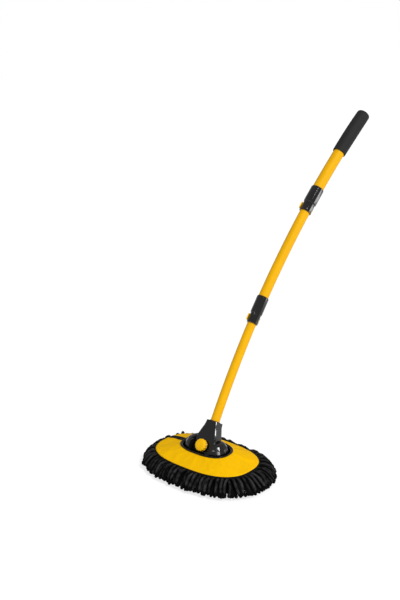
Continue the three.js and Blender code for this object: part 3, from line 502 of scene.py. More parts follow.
def swept_rings(places, outward, profile):
    """One ring round an oval for each (outward, height) point."""
    return [at_height(places + outward * reach, height) for reach, height in profile]


def reach_on_head(x, y):
    """The share of the way from the head's middle to the cover's edge."""
    sum_of_powers = (np.abs(x / HEAD_HALF_LENGTH) ** HEAD_ROUNDNESS
                     + np.abs(y / HEAD_HALF_WIDTH) ** HEAD_ROUNDNESS)
    return np.minimum(sum_of_powers ** (1 / HEAD_ROUNDNESS), 1)


def crown(x, y):
    """Height of the cover, which falls with the square of the reach."""
    return COVER_EDGE + CROWN_RISE * (1 - reach_on_head(x, y) ** 2)


# Cover

COVER_THICKNESS = 1.6 * MM
COVER_PUFF = 3 * MM
COVER_GAP = 0.4 * MM
COVER_OPENING = (
    TUB_HALF_LENGTH + TUB_WALL + COVER_GAP, TUB_HALF_WIDTH + TUB_WALL + COVER_GAP, TUB_ROUNDNESS)
COVER_COLUMNS = 220
COVER_ROWS = 22
CLOTH_FRAMES = 20
SLIT_HALF_GAP = 1.5 * MM
SLIT_SPREAD = 20 * MM
SLIT_SIDE_SHARE = 0.6
SLIT_ARC = (0.6 * pi, 1.2 * pi)
SLIT_ARC_STEPS = 2000
SLIT_TURN = radians(15)
SLIT_START = np.array([-LIP_HALF_LENGTH, 0])
SLIT_WAY = np.array([-cos(SLIT_TURN), sin(SLIT_TURN)])
SLIT_ACROSS = np.array([sin(SLIT_TURN), cos(SLIT_TURN)])


def ring_on_cover(angles, share):
    """Places round the cover at a share of the way from opening to edge."""
    return oval(angles, *COVER_OPENING) * (1 - share) + oval(angles, *HEAD_OVAL) * share


def row_on_cover(share):
    """One row of the cover, from one side of the slit round to the other."""
    angles = np.linspace(*SLIT_ARC, SLIT_ARC_STEPS)
    crossing = angles[np.argmin(np.abs((ring_on_cover(angles, share) - SLIT_START) @ SLIT_ACROSS))]
    ring = ring_on_cover(np.linspace(crossing - FULL_TURN, crossing, COVER_COLUMNS), share)
    across = (ring - SLIT_START) @ SLIT_ACROSS
    side = np.where(np.arange(COVER_COLUMNS) < COVER_COLUMNS / 2, -1, 1)
    spread = SLIT_HALF_GAP + np.abs(across) * (1 - SLIT_HALF_GAP / SLIT_SPREAD)
    near_slit = (ring[:, 0] < -TUB_HALF_LENGTH * SLIT_SIDE_SHARE) & (np.abs(across) < SLIT_SPREAD)
    shift = np.where(near_slit, side * spread - across, 0)
    return ring + np.outer(shift, SLIT_ACROSS)


def cover_sheet():
    """The top of the cover, open along the slit."""
    places = []
    for share in np.arange(COVER_ROWS) / (COVER_ROWS - 1):
        ring = row_on_cover(share)
        places.append(np.column_stack([ring, crown(ring[:, 0], ring[:, 1])]))
    faces = grid_faces(COVER_ROWS, COVER_COLUMNS, close_columns=False)
    return mesh_object("cover", np.concatenate(places), faces, YELLOW_CLOTH)


def puff_cover(cover):
    """Cloth simulation: the sheet swells over its padding, held at its sewn borders."""
    rest = np.array([vertex.co for vertex in cover.data.vertices])
    grid = np.arange(len(rest)).reshape(COVER_ROWS, COVER_COLUMNS)
    borders = np.concatenate([grid[0], grid[-1], grid[:, 0], grid[:, -1]])
    cover.vertex_groups.new(name="sewn").add(borders.tolist(), 1, "REPLACE")
    modifier = cover.modifiers.new("cloth", "CLOTH")
    settings = modifier.settings
    settings.quality = 6
    settings.mass = 0.15
    settings.tension_stiffness = 20
    settings.compression_stiffness = 20
    settings.shear_stiffness = 8
    settings.bending_stiffness = 2.5
    settings.vertex_group_mass = "sewn"
    settings.use_pressure = True
    settings.uniform_pressure_force = 3.5
    settings.effector_weights.gravity = 0
    modifier.collision_settings.use_collision = False
    scene = bpy.context.scene
    for step in range(1, CLOTH_FRAMES + 1):
        scene.frame_set(step)
    swollen = cover.evaluated_get(bpy.context.evaluated_depsgraph_get()).data
    moved = np.array([vertex.co for vertex in swollen.vertices]) - rest
    distance = np.linalg.norm(moved, axis=1)
    share = COVER_PUFF / np.maximum(distance, COVER_PUFF)
    places = rest + moved * share[:, None]
    cover.modifiers.clear()
    scene.frame_set(1)
    cover.data.vertices.foreach_set("co", places.astype(np.float32).ravel())
    cover.data.update()
    return distance.max()


def build_cover():
    cover = cover_sheet()
    print("cover swelled by", puff_cover(cover))
    solid = cover.modifiers.new("cloth_thickness", "SOLIDIFY")
    solid.thickness = COVER_THICKNESS
    solid.offset = -1
    apply_modifiers(cover)
    cover.data.shade_smooth()
    finish_piece(cover, "head", "cover_fabric", "top_cover")


# Tapes round the edge, along the slit and under it

TAPE_INSIDE = 0.9 * MM
TAPE_OUTSIDE = 2.9 * MM
TAPE_ABOVE = 0.5 * MM
TAPE_ROUNDING = 1.25 * MM
TAPE_COLUMNS = 360
TAPE_SIDES = (1.4 * MM, 6.5 * MM)
TAPE_HEIGHTS = (0.2 * MM, 2.8 * MM)
STRIP_START = 0.6 * MM
STRIP_END_GAP = 0.4 * MM
STRIP_STEPS = 60
STRIP_ROUND_SHARE = 0.4
CLOSURE_HALF = 8 * MM
CLOSURE_HEIGHTS = (-3.2 * MM, -2.3 * MM)
CLOSURE_END_GAP = 12 * MM


def build_strip(name, node, length, sides, heights):
    """A tape along the slit, on the crown, between two sides and two heights."""
    rounding = (heights[1] - heights[0]) * STRIP_ROUND_SHARE
    profile = pill_profile(*sides, *heights, rounding, steps=3)
    places = []
    for along in np.linspace(STRIP_START, length, STRIP_STEPS):
        for across, height in profile:
            x, y = SLIT_START + SLIT_WAY * along + SLIT_ACROSS * across
            places.append((x, y, float(crown(x, y)) + height))
    strip = capped_piece(name, places, len(profile), BLACK_TAPE)
    finish_piece(strip, "head", "black_tape", node)


def build_tapes():
    profile = pill_profile(
        -TAPE_INSIDE, TAPE_OUTSIDE, BINDING_LOW.z, BINDING_HIGH.z + TAPE_ABOVE, TAPE_ROUNDING)
    places, outward, _ = even_oval(TAPE_COLUMNS, *HEAD_OVAL)
    edge = looped_piece("edge_tape", swept_rings(places, outward, profile), BLACK_TAPE)
    finish_piece(edge, "head", "black_tape", "edge_binding")
    length = HEAD_HALF_LENGTH - LIP_HALF_LENGTH - STRIP_END_GAP
    near, far = TAPE_SIDES
    build_strip("slit_tape_front", "slit_binding_front", length, (-far, -near), TAPE_HEIGHTS)
    build_strip("slit_tape_back", "slit_binding_back", length, (near, far), TAPE_HEIGHTS)
    sides = (-CLOSURE_HALF, CLOSURE_HALF)
    build_strip(
        "closure_strip", "slit_closure_strip", length - CLOSURE_END_GAP, sides, CLOSURE_HEIGHTS)


# Strands

NOODLE_RADIUS = 3.8 * MM
NOODLE_SIDES = 8
NOODLE_SHARES = np.array([0, 0.12, 0.25, 0.38, 0.5, 0.62, 0.73, 0.83, 0.9, 0.945, 0.975, 0.992, 1])
NOODLE_SPREAD_SHARE = 0.07
NOODLE_TWIST = 6.28
BODY_SHARE = 0.94
KNOT_SHARE = 0.08
KNOT_WAVES = 600
TIP_SHARE = 0.03
LOBE_SHARE = 0.06
LOBES = 3
LOBE_TWIST = 1.7
STEEP = 0.8
# Painted light on a strand's underside, as a share of that on its top
SHADED_SHARE = 0.3
FLOOR_GAP = 0.2 * MM

# Rows of the fringe from the top down: root height, reach, tip height, arch and pitch in
# millimetres, and the share of painted light, which paints the lower rows darker as shade
FRINGE_ROWS = [
    (30.5, 32.5, 15, 7, 9.6, 1), (28, 34.5, 11.5, 5, 8.6, 0.7), (25, 36, 9, 3, 7, 0.35),
    (22, 36, 7.4, 1, 6.6, 0.2), (19.5, 30, 6.6, 0, 7, 0.15),
]
FRINGE_DRIFT = 3.8 * MM
FRINGE_FRONT_CUT = 6 * MM
FRINGE_INSET = 1.5 * MM
DROP_POWER = 1.55
SWAY_SPREAD = 0.12
REACH_SPREAD_SHARE = 0.035
ARCH_SPREAD_SHARE = 0.25
TIP_SPREAD = 0.9 * MM
TIP_GAP = 0.4 * MM
CURL_SPREAD = 2 * MM
LIT_SHARES = (0.5, 1)

SOLE_PITCH = 8.6 * MM
SOLE_REACH_SHARE = 0.97
SOLE_STEPS = 7
SOLE_ROOT = 19 * MM
SOLE_TIP_SHARE = 0.3
SOLE_SPLAY = 7 * MM
SOLE_LEAN = 1.4 * MM
SOLE_BEND_POWER = 1.4
# Painted shade: the strands under the head get a low share of painted light.
SOLE_LIT_SHARE = 0.2


def noodle_thickness(path, radius, twist):
    """The radius along a strand: knotted like chenille, and round at its tip."""
    steps = np.linalg.norm(np.diff(path, axis=0), axis=1)
    from_tip = np.append(np.cumsum(steps[::-1])[::-1], 0)
    tip = np.clip(from_tip / radius, 0, 1)
    knotted = radius * (BODY_SHARE + KNOT_SHARE * np.sin(from_tip * KNOT_WAVES + twist))
    return knotted * np.sqrt(np.clip(1 - (1 - tip) ** 2, TIP_SHARE, 1))


def noodle_mesh(path, radius, twist):
    """Places, faces and painted light of one strand, its underside painted darker as shade."""
    count = len(path)
    ahead = np.gradient(path, axis=0)
    ahead /= np.linalg.norm(ahead, axis=1)[:, None]
    helper = (0, 0, 1) if abs(ahead[0][2]) < STEEP else (1, 0, 0)
    side = np.cross(ahead, helper)
    side /= np.linalg.norm(side, axis=1)[:, None]
    lift = np.cross(side, ahead)
    thick = noodle_thickness(path, radius, twist)
    angles = twist + np.arange(NOODLE_SIDES) * FULL_TURN / NOODLE_SIDES
    rings = []
    for index in range(count):
        lobed = thick[index] * (1 + LOBE_SHARE * np.sin(angles * LOBES + index * LOBE_TWIST + twist))
        rings.append(path[index]
                     + np.outer(np.cos(angles) * lobed, side[index])
                     + np.outer(np.sin(angles) * lobed, lift[index]))
    # Painted shade: each ring is painted darker on its underside than on its top.
    upward = np.maximum(np.tile(np.sin(angles), count), 0)
    painted_light = SHADED_SHARE + (1 - SHADED_SHARE) * upward
    return np.concatenate(rings), capped_faces(count, NOODLE_SIDES), painted_light


def fringe_path(place, out, root, reach, tip, arch):
    """One strand from the head's edge out and down to the floor."""
    shares = NOODLE_SHARES
    sway = rng.normal(0, SWAY_SPREAD)
    out = np.array([out[0] - out[1] * sway, out[1] + out[0] * sway])
    reach *= 1 + rng.normal(0, REACH_SPREAD_SHARE)
    reach += FRINGE_DRIFT * out[0] - FRINGE_FRONT_CUT * max(-out[1], 0)
    tip = max(tip + rng.normal(0, TIP_SPREAD), NOODLE_RADIUS + TIP_GAP)
    arch *= 1 + rng.normal(0, ARCH_SPREAD_SHARE)
    curl = rng.normal(0, CURL_SPREAD)
    flat = place + np.outer(shares * (reach + FRINGE_INSET) - FRINGE_INSET, out)
    flat += np.outer(curl * np.sin(shares * np.pi) * shares, [-out[1], out[0]])
    height = root + (tip - root) * shares ** DROP_POWER + arch * 4 * shares * (1 - shares)
    return np.column_stack([flat, height])


def fringe_paths():
    """The strands of the fringe, each with its share of painted light."""
    _, _, around = even_oval(4, *HEAD_OVAL)
    for number, (*sizes, pitch, lit) in enumerate(FRINGE_ROWS):
        places, outward, _ = even_oval(round(around / (pitch * MM)), *HEAD_OVAL, number % 2 / 2)
        for place, out in zip(places, outward):
            path = fringe_path(place, out, *(size * MM for size in sizes))
            yield path, lit * rng.uniform(*LIT_SHARES)


def sole_path(x, y):
    """One strand under the head, which hangs down and splays a little."""
    shares = np.linspace(0, 1, SOLE_STEPS)
    lean = rng.normal(0, SOLE_LEAN, 2)
    out = np.array([x / HEAD_HALF_LENGTH, y / HEAD_HALF_WIDTH]) * SOLE_SPLAY
    flat = np.array([x, y]) + np.outer(shares ** SOLE_BEND_POWER, out + lean)
    height = SOLE_ROOT + (NOODLE_RADIUS * SOLE_TIP_SHARE - SOLE_ROOT) * shares
    return np.column_stack([flat, height])


def sole_paths():
    """The strands under the head in staggered rows, each painted dark as shade under the head."""
    columns = int(HEAD_HALF_LENGTH / SOLE_PITCH)
    rows = int(HEAD_HALF_WIDTH / SOLE_PITCH)
    for column in range(-columns, columns + 1):
        for row in range(-rows, rows + 1):
            x = (column + row % 2 / 2) * SOLE_PITCH
            y = row * SOLE_PITCH
            if reach_on_head(x, y) < SOLE_REACH_SHARE:
                yield sole_path(x, y), SOLE_LIT_SHARE


def build_noodles():
    """All strands, joined into the pad's four quarters."""
    quarters = {f"{front}_{end}": ([], [], []) for front in ("front", "back") for end in ("left", "right")}
    for paths in (fringe_paths(), sole_paths()):
        for path, lit in paths:
            radius = NOODLE_RADIUS * (1 + rng.normal(0, NOODLE_SPREAD_SHARE))
            places, faces, painted_light = noodle_mesh(path, radius, rng.uniform(0, NOODLE_TWIST))
            places[:, 2] = np.maximum(places[:, 2], FLOOR_GAP)
            front = "front" if path[0][1] < 0 else "back"
            end = "left" if path[0][0] < 0 else "right"
            all_places, all_faces, all_lit = quarters[f"{front}_{end}"]
            offset = sum(len(part) for part in all_places)
            all_places.append(places)
            all_lit.append(lit * painted_light)
            all_faces.extend(tuple(offset + index for index in face) for face in faces)
    for name, (places, faces, lit) in quarters.items():
        noodles = mesh_object(f"noodles_{name}", np.concatenate(places), faces, CHENILLE)
        # Stores the painted light of each point: painted shade on lower rows, undersides and sole strands.
        painted_light = noodles.data.attributes.new("painted_light", "FLOAT", "POINT")
        painted_light.data.foreach_set("value", np.concatenate(lit).astype(np.float32))
        finish_piece(noodles, "head", "chenille", f"noodle_pad_{name}")


# Backing and sponges

DISH_WALL = 2.5 * MM
DISH_BELOW_EDGE = 2 * MM
DISH_SOLE = 18 * MM
DISH_CORNER = 5 * MM
DISH_CORNER_STEPS = 6
DISH_COLUMNS = 200
DISH_SHARES = (0.66, 0.33, 0.02)
SPONGE_ROUNDING = 1.2 * MM


def build_backing():
    """The knitted dish that the strands are sewn to."""
    top = COVER_EDGE - DISH_BELOW_EDGE
    outer = [(0, top)]
    for inward, down in circle(np.linspace(0, QUARTER_TURN, DISH_CORNER_STEPS + 1), DISH_CORNER):
        outer.append((inward - DISH_CORNER, DISH_SOLE + DISH_CORNER - down))
    inner = [(reach - DISH_WALL, height + DISH_WALL) for reach, height in reversed(outer[1:])]
    inner.append((-DISH_WALL, top))
    places, outward, _ = even_oval(DISH_COLUMNS, *HEAD_OVAL)
    rings = swept_rings(places, outward, outer)
    rings += [at_height(places * share, DISH_SOLE) for share in DISH_SHARES]
    rings += [
        at_height(places * share, DISH_SOLE + DISH_WALL) for share in reversed(DISH_SHARES)]
    rings += swept_rings(places, outward, inner)
    finish_piece(looped_piece("pad_backing", rings, BACKING), "head", "chenille")


def build_sponges():
    """The sponge layer and the crown's padding."""
    for node, name, fill in (("foam_pad", "sponge_layer", 0.8), ("crown_foam", "crown_sponge", 0.7)):
        thing = new_object(name, frame["nodes"][node].data.copy())
        thing.data.materials.clear()
        thing.data.materials.append(SPONGE)
        soften_edges(face_outwards(thing), SPONGE_ROUNDING, segments=2, limit=40)
        finish_piece(thing, "head", "sponge", node)


# Bracket

HINGE_BELOW_LIP = 1.6 * MM
LIP_TOP = HINGE.z + HINGE_BELOW_LIP
LIP_HEIGHT = 3.5 * MM
LIP_ROUNDING = 1.7 * MM
LIP_CREST = 2.6 * MM
LIP_CREST_ROUNDING = 0.8 * MM
LIP_SLOPE = 2.4 * MM
TUB_FLOOR = BRACKET_LOW.z + 3 * MM
TUB_FLOOR_EDGE = -6 * MM
TUB_FLOOR_ROUNDING = 3 * MM
TUB_STEPS = (4, 5, 4, 5, 5)
TUB_COLUMNS = 240
TUB_SHARES = (0.6, 0.3, 0.01)
HUMP_START = 27.8 * MM
HUMP_TOP = HINGE.z + 18.4 * MM
HUMP_FACETS = 7
HUMP_FLAT_SHARES = (0.3, 0.7)
HUMP_ROUNDING = 1.2 * MM

# Levels of a hump: a height and what is added to it, the inset from the wall and the way back
# from the socket, in millimetres
HUMP_LEVELS = [
    (TUB_FLOOR, -0.5, 2.6, 0.0), (LIP_TOP, -1.0, 3.0, 0.0), (LIP_TOP, 6.5, 6.0, 0.2),
    (HUMP_TOP, -3.0, 11.0, 1.2), (HUMP_TOP, -0.5, 15.5, 3.5), (HUMP_TOP, 0.0, 19.0, 6.0),
]


def tub_profile():
    """From the tub's foot over its lip to its floor, as (outward, height) points."""
    lip_low = LIP_TOP - LIP_HEIGHT
    stops = [
        (LIP_REACH - LIP_ROUNDING, lip_low), (LIP_REACH, lip_low), (LIP_REACH, LIP_TOP),
        (LIP_REACH - LIP_CREST, LIP_TOP), (0, LIP_TOP - LIP_SLOPE), (0, TUB_FLOOR),
        (TUB_FLOOR_EDGE, TUB_FLOOR),
    ]
    roundings = (LIP_ROUNDING, LIP_ROUNDING, LIP_CREST_ROUNDING, LIP_ROUNDING, TUB_FLOOR_ROUNDING)
    profile = [(TUB_WALL, BRACKET_LOW.z), (TUB_WALL, lip_low), stops[0]]
    for before, corner, after, rounding, steps in zip(stops, stops[1:], stops[2:], roundings, TUB_STEPS):
        profile += rounded(corner, before, after, rounding, steps)
    return profile


def build_bracket():
    places, outward, _ = even_oval(TUB_COLUMNS, *TUB_OVAL)
    rings = swept_rings(places, outward, tub_profile())
    floor = places + outward * TUB_FLOOR_EDGE
    rings += [at_height(floor * share, TUB_FLOOR) for share in TUB_SHARES]
    rings += [at_height(places * share, BRACKET_LOW.z) for share in reversed(TUB_SHARES)]
    tub = looped_piece("bracket_tub", rings, BLACK_RIM)
    tub.data.set_sharp_from_angle(angle=WIDE_CREASE)
    finish_piece(tub, "head", "black_gloss", "swivel_bracket")
    build_hump("hump_left", -1)
    build_hump("hump_right", 1)


def hump_outline(side, inset, start, height):
    """One level of a hump: along the tub's wall, and flat beside the socket."""
    half_length = TUB_HALF_LENGTH - inset
    half_width = TUB_HALF_WIDTH - inset
    widest = acos((start / half_length) ** (TUB_ROUNDNESS / 2))
    arc = oval(np.linspace(-widest, widest, HUMP_FACETS), half_length, half_width, TUB_ROUNDNESS)
    flat = [arc[-1] + (arc[0] - arc[-1]) * share for share in HUMP_FLAT_SHARES]
    return [(side * x, y, height) for x, y in [*arc, *flat]]


def build_hump(name, side):
    """A faceted dome at one end of the tub, which holds an end of the hinge pin."""
    places = []
    for base, rise, inset, back in HUMP_LEVELS:
        places += hump_outline(side, inset * MM, HUMP_START + back * MM, base + rise * MM)
    hump = capped_piece(name, places, HUMP_FACETS + len(HUMP_FLAT_SHARES), BLACK_GLOSS)
    soften_edges(hump, HUMP_ROUNDING, segments=3, limit=12)
    finish_piece(hump, "head", "black_gloss")


# Socket

SOCKET_LENGTH = BOW_START
SOCKET_HALF_WIDTH = 27.2 * MM
SOCKET_HALF_DEPTH = 12.8 * MM
SOCKET_MOUTH_HALF = 14.3 * MM
SOCKET_COLLAR_HALF = 15.8 * MM
SOCKET_COLLAR = SOCKET_LENGTH - 10 * MM
SOCKET_SHOULDER = 17 * MM
SOCKET_FOOT = 6 * MM
SOCKET_FOOT_STEPS = 7
SOCKET_APRON = 14.3 * MM
SOCKET_CHAMFER = 2.4 * MM
SOCKET_THIN_SHARE = 0.4
SOCKET_ROUNDING = 1 * MM
MOUTH_SHARE = 0.86
MOUTH_DEPTH = 5 * MM
RING_GAP = 0.25 * MM
RING_WALL = 2.2 * MM
RING_TOP_WALL = 1.4 * MM
RING_START = SOCKET_LENGTH - 4 * MM
RING_EDGE = SOCKET_LENGTH + 0.3 * MM
RING_TOP = SOCKET_LENGTH + 1.2 * MM
BOSS_RADIUS = 12.3 * MM
BOSS_START = SOCKET_HALF_DEPTH - 3 * MM
BOSS_TOP = 17 * MM
BOSS_CHAMFER = 0.8 * MM


def socket_half_width(height):
    stops = (-SOCKET_APRON, SOCKET_SHOULDER, SOCKET_COLLAR, SOCKET_LENGTH)
    widths = (SOCKET_HALF_WIDTH, SOCKET_HALF_WIDTH, SOCKET_COLLAR_HALF, SOCKET_MOUTH_HALF)
    return np.interp(height, stops, widths)


def socket_sections():
    """Each section's height in front, and its height and depth at the back."""
    sections = []
    for share in np.linspace(0, 1, SOCKET_FOOT_STEPS + 1):
        angle = share * QUARTER_TURN
        sections.append((
            -SOCKET_APRON * (1 - share),
            -SOCKET_HALF_DEPTH * cos(angle), SOCKET_HALF_DEPTH * sin(angle)))
    taper_middle = (SOCKET_SHOULDER + SOCKET_COLLAR) / 2
    for height in (SOCKET_FOOT, SOCKET_SHOULDER, taper_middle, SOCKET_COLLAR, SOCKET_LENGTH):
        sections.append((height, height, SOCKET_HALF_DEPTH))
    return sections


def socket_ring(front_height, back_height, back_depth):
    """The eight corners of one section."""
    front_width = socket_half_width(front_height)
    back_width = socket_half_width(back_height)
    front = SOCKET_HALF_DEPTH
    cut = SOCKET_CHAMFER
    back_side = min(cut, back_depth + cut * SOCKET_THIN_SHARE) - back_depth
    return [
        (back_width, back_side, back_height), (front_width, front - cut, front_height),
        (front_width - cut, front, front_height), (cut - front_width, front, front_height),
        (-front_width, front - cut, front_height), (-back_width, back_side, back_height),
        (cut - back_width, -back_depth, back_height), (back_width - cut, -back_depth, back_height),
    ]


def build_housing():
    """Flared housing with an apron in front, a round back and a sunk mouth."""
    places = []
    for section in socket_sections():
        ring = socket_ring(*section)
        places += ring
    places += [(x * MOUTH_SHARE, y * MOUTH_SHARE, SOCKET_LENGTH) for x, y, _ in ring]
    places += [(x * MOUTH_SHARE, y * MOUTH_SHARE, SOCKET_LENGTH - MOUTH_DEPTH) for x, y, _ in ring]
    housing = capped_piece("socket_housing", socket_places(places), len(ring), BLACK_GLOSS)
    soften_edges(housing, SOCKET_ROUNDING, segments=3, limit=22)
    finish_piece(housing, "socket", "black_gloss", "pole_socket")


def build_socket():
    """The housing, the ring round the tube in its mouth and the knob's boss."""
    build_housing()
    inside = LOWER_RADIUS + RING_GAP
    outside = LOWER_RADIUS + RING_WALL
    mouth_ring = [
        (inside, RING_START), (outside, RING_START), (outside, RING_EDGE),
        (LOWER_RADIUS + RING_TOP_WALL, RING_TOP), (inside, RING_TOP),
        (inside, RING_START),
    ]
    finish_piece(turned_piece("socket_lip", mouth_ring, BLACK_TUB, pole_places), "socket", "black_gloss")
    boss = [
        (0, BOSS_START), (BOSS_RADIUS, BOSS_START), (BOSS_RADIUS, BOSS_TOP - BOSS_CHAMFER),
        (BOSS_RADIUS - BOSS_CHAMFER, BOSS_TOP), (0, BOSS_TOP),
    ]
    finish_piece(turned_piece("knob_boss", boss, BLACK_GLOSS, knob_places), "socket", "black_gloss")


# Knob

KNOB_RADIUS = 13.7 * MM
KNOB_SEAT = BOSS_TOP + 0.3 * MM
KNOB_HEIGHT = 9 * MM
KNOB_LOBES = 14
KNOB_STEPS = 14
KNOB_LOBE_SHARE = 0.12
KNOB_LOBE_POWER = 0.8

# Rings of the knob from its bore to its top: shares of its radius, height and lobes' depth
KNOB_SHARES = [
    (0.01, 0.5, 0), (0.2, 0.5, 0), (0.2, 0, 0), (0.62, 0, 0), (0.93, 0, 0.2), (0.985, 0.05, 0.8),
    (1, 0.14, 1), (1, 0.45, 1), (1, 0.7, 1), (0.985, 0.8, 0.9), (0.955, 0.875, 0.6), (0.9, 0.93, 0.25),
    (0.82, 0.965, 0.05), (0.6, 0.985, 0), (0.35, 0.995, 0), (0.02, 1, 0),
]


def build_knob():
    around = KNOB_STEPS * KNOB_LOBES
    angles = np.arange(around) * FULL_TURN / around
    hollow = 1 - np.abs(np.sin(angles * KNOB_LOBES / 2)) ** KNOB_LOBE_POWER
    rings = []
    for size, height, lobed in KNOB_SHARES:
        radius = KNOB_RADIUS * size * (1 - KNOB_LOBE_SHARE * lobed * hollow)
        rings.append(at_height(circle(angles, radius), KNOB_SEAT + height * KNOB_HEIGHT))
    knob = capped_piece("knob", knob_places(np.concatenate(rings)), around, YELLOW_GLOSS)
    knob.data.set_sharp_from_angle(angle=WIDE_CREASE)
    finish_piece(knob, "knob", "yellow_gloss", "clamp_knob")


# Tubes

TUBE_WALL = 0.9 * MM
TUBE_EDGE = 0.25 * MM
TUBE_STEPS = 48
TUBE_SIDES = 72


def build_tube(node, body):
    low, high, radius = pole_extent(node)
    heights = np.linspace(low, high, TUBE_STEPS)
    outer = radius - TUBE_EDGE
    inner = radius - TUBE_WALL
    profile = [(outer, low), (radius, low + TUBE_EDGE)]
    profile += [(radius, height) for height in heights[1:-1]]
    profile += [(radius, high - TUBE_EDGE), (outer, high), (inner, high)]
    profile += [(inner, height) for height in heights[-2::-1]]
    profile.append(profile[0])
    tube = turned_piece(f"{node}_skin", profile, YELLOW_TUBE, pole_places, TUBE_SIDES)
    finish_piece(tube, body, "yellow_tube", node)


# Flip locks

LOCK_FACING = radians(-75)
LOCK_SIDES = 12
LOCK_WALL = 2.2 * MM
LOCK_ROUNDING = 0.9 * MM
NECK_LENGTH = 24 * MM
NECK_GAP = 0.5 * MM
NECK_RIM = 0.7 * MM
NECK_RIM_LENGTH = 2 * MM
NECK_RIM_END = 3.4 * MM
NECK_STEP = 1 * MM
BARREL_GAP = 0.3 * MM
BARREL_CHAMFER = 1.4 * MM
LEVER_START = radians(97)
LEVER_END = radians(220)
LEVER_PIN_ARC = radians(15)
LEVER_STEPS = 32
LEVER_GAP = 0.75 * MM
LEVER_WALL = 2.4 * MM
LEVER_HALF = 7.5 * MM
LEVER_PIN_HALF = 4 * MM
LEVER_FLARE = 0.9 * MM
LEVER_FLARE_SHARE = 0.14
LEVER_ROUNDING = 0.7 * MM
PIN_GAP = 0.3 * MM
PIN_RADIUS = 1.3 * MM
PIN_SIDES = 40
EAR_RADIUS = 2.9 * MM
EAR_STARTS = (4.7 * MM, 16.3 * MM)
EAR_WALL = 3 * MM
EAR_ROOT = 1 * MM
EAR_STEPS = 16
EAR_ROUNDING = 0.4 * MM


def lock_places(points, start):
    """World places of points about a lock's axis, from its start along the pole."""
    points = np.asarray(points, float)
    turned = points.copy()
    turned[:, 0] = points[:, 0] * cos(LOCK_FACING) - points[:, 1] * sin(LOCK_FACING)
    turned[:, 1] = points[:, 0] * sin(LOCK_FACING) + points[:, 1] * cos(LOCK_FACING)
    turned[:, 2] += start
    return pole_places(turned)


def build_lock(name, body, thin, thick):
    """A barrel with its neck; gives the lock's start and the neck's radius."""
    start, end, _ = pole_extent(f"{name}_body")
    neck = thin + LOCK_WALL
    barrel = thick + LOCK_WALL
    neck_bore = thin + NECK_GAP
    bore = thick + BARREL_GAP
    length = end - start
    profile = [
        (neck_bore, 0), (neck + NECK_RIM, 0), (neck + NECK_RIM, NECK_RIM_LENGTH), (neck, NECK_RIM_END),
        (neck, NECK_LENGTH - NECK_STEP), (barrel, NECK_LENGTH), (barrel, length - BARREL_CHAMFER),
        (barrel - BARREL_CHAMFER, length), (bore, length), (bore, NECK_LENGTH + NECK_STEP),
        (neck_bore, NECK_LENGTH - NECK_STEP), (neck_bore, 0),
    ]
    shell = turned_piece(
        f"{name}_shell", profile, BLACK_GLOSS, lambda points: lock_places(points, start), LOCK_SIDES,
        pi / LOCK_SIDES)
    soften_edges(shell, LOCK_ROUNDING, segments=3, limit=18)
    finish_piece(shell, body, "black_gloss", f"{name}_body")
    return start, neck


def lever_section(angle, inner, middle):
    """One section of a lever: narrow at its pin, flared at its free end."""
    share = (angle - LEVER_START) / (LEVER_END - LEVER_START)
    flare = LEVER_FLARE * max(0, (share - 1 + LEVER_FLARE_SHARE) / LEVER_FLARE_SHARE)
    near_pin = min(1, (angle - LEVER_START) / LEVER_PIN_ARC)
    half = LEVER_PIN_HALF + (LEVER_HALF - LEVER_PIN_HALF) * near_pin
    return pill_profile(
        inner + flare, inner + LEVER_WALL + flare, middle - half, middle + half, LEVER_ROUNDING, steps=3)


def build_lever(name, body, start, neck, pivot):
    """The lever that wraps the back of the neck, with its eye round the pin."""
    middle = NECK_LENGTH / 2
    places = []
    for angle in np.linspace(LEVER_START, LEVER_END, LEVER_STEPS):
        section = lever_section(angle, neck + LEVER_GAP, middle)
        places += [
            (radius * cos(angle), radius * sin(angle), height) for radius, height in section]
    lever = capped_piece(f"{name}_flip", lock_places(places, start), len(section), YELLOW_GLOSS)
    lever.data.set_sharp_from_angle(angle=WIDE_CREASE)
    finish_piece(lever, body, "yellow_gloss", f"{name}_lever")
    low, high = middle - LEVER_PIN_HALF, middle + LEVER_PIN_HALF
    profile = [
        (PIN_RADIUS, low), (EAR_RADIUS, low), (EAR_RADIUS, high), (PIN_RADIUS, high), (PIN_RADIUS, low)]
    eye = turned_piece(
        f"{name}_knuckle", profile, YELLOW_GLOSS,
        lambda points: lock_places(points + np.array([0, pivot, 0]), start), PIN_SIDES)
    finish_piece(eye, body, "yellow_gloss")


def build_ears(name, body, start, neck, pivot):
    """The two ears that hold the lever's pin."""
    arc = circle(np.linspace(0, pi, EAR_STEPS + 1), EAR_RADIUS) + (0, pivot)
    outline = [*arc, (-EAR_RADIUS, neck - EAR_ROOT), (EAR_RADIUS, neck - EAR_ROOT)]
    for number, low in enumerate(EAR_STARTS, 1):
        places = np.concatenate([at_height(outline, low), at_height(outline, low + EAR_WALL)])
        ear = capped_piece(f"{name}_ear_{number}", lock_places(places, start), len(outline), BLACK_GLOSS)
        soften_edges(ear, EAR_ROUNDING, segments=2, limit=40)
        finish_piece(ear, body, "black_gloss")


def build_locks():
    for name, body, lever_body, thin, thick in (
            ("lower_lock", "middle", "lower_lever", LOWER_RADIUS, MIDDLE_RADIUS),
            ("upper_lock", "upper", "upper_lever", MIDDLE_RADIUS, UPPER_RADIUS)):
        start, neck = build_lock(name, body, thin, thick)
        pivot = neck + LEVER_GAP + LEVER_WALL + PIN_GAP
        build_ears(name, body, start, neck, pivot)
        build_lever(name, lever_body, start, neck, pivot)


# Grip

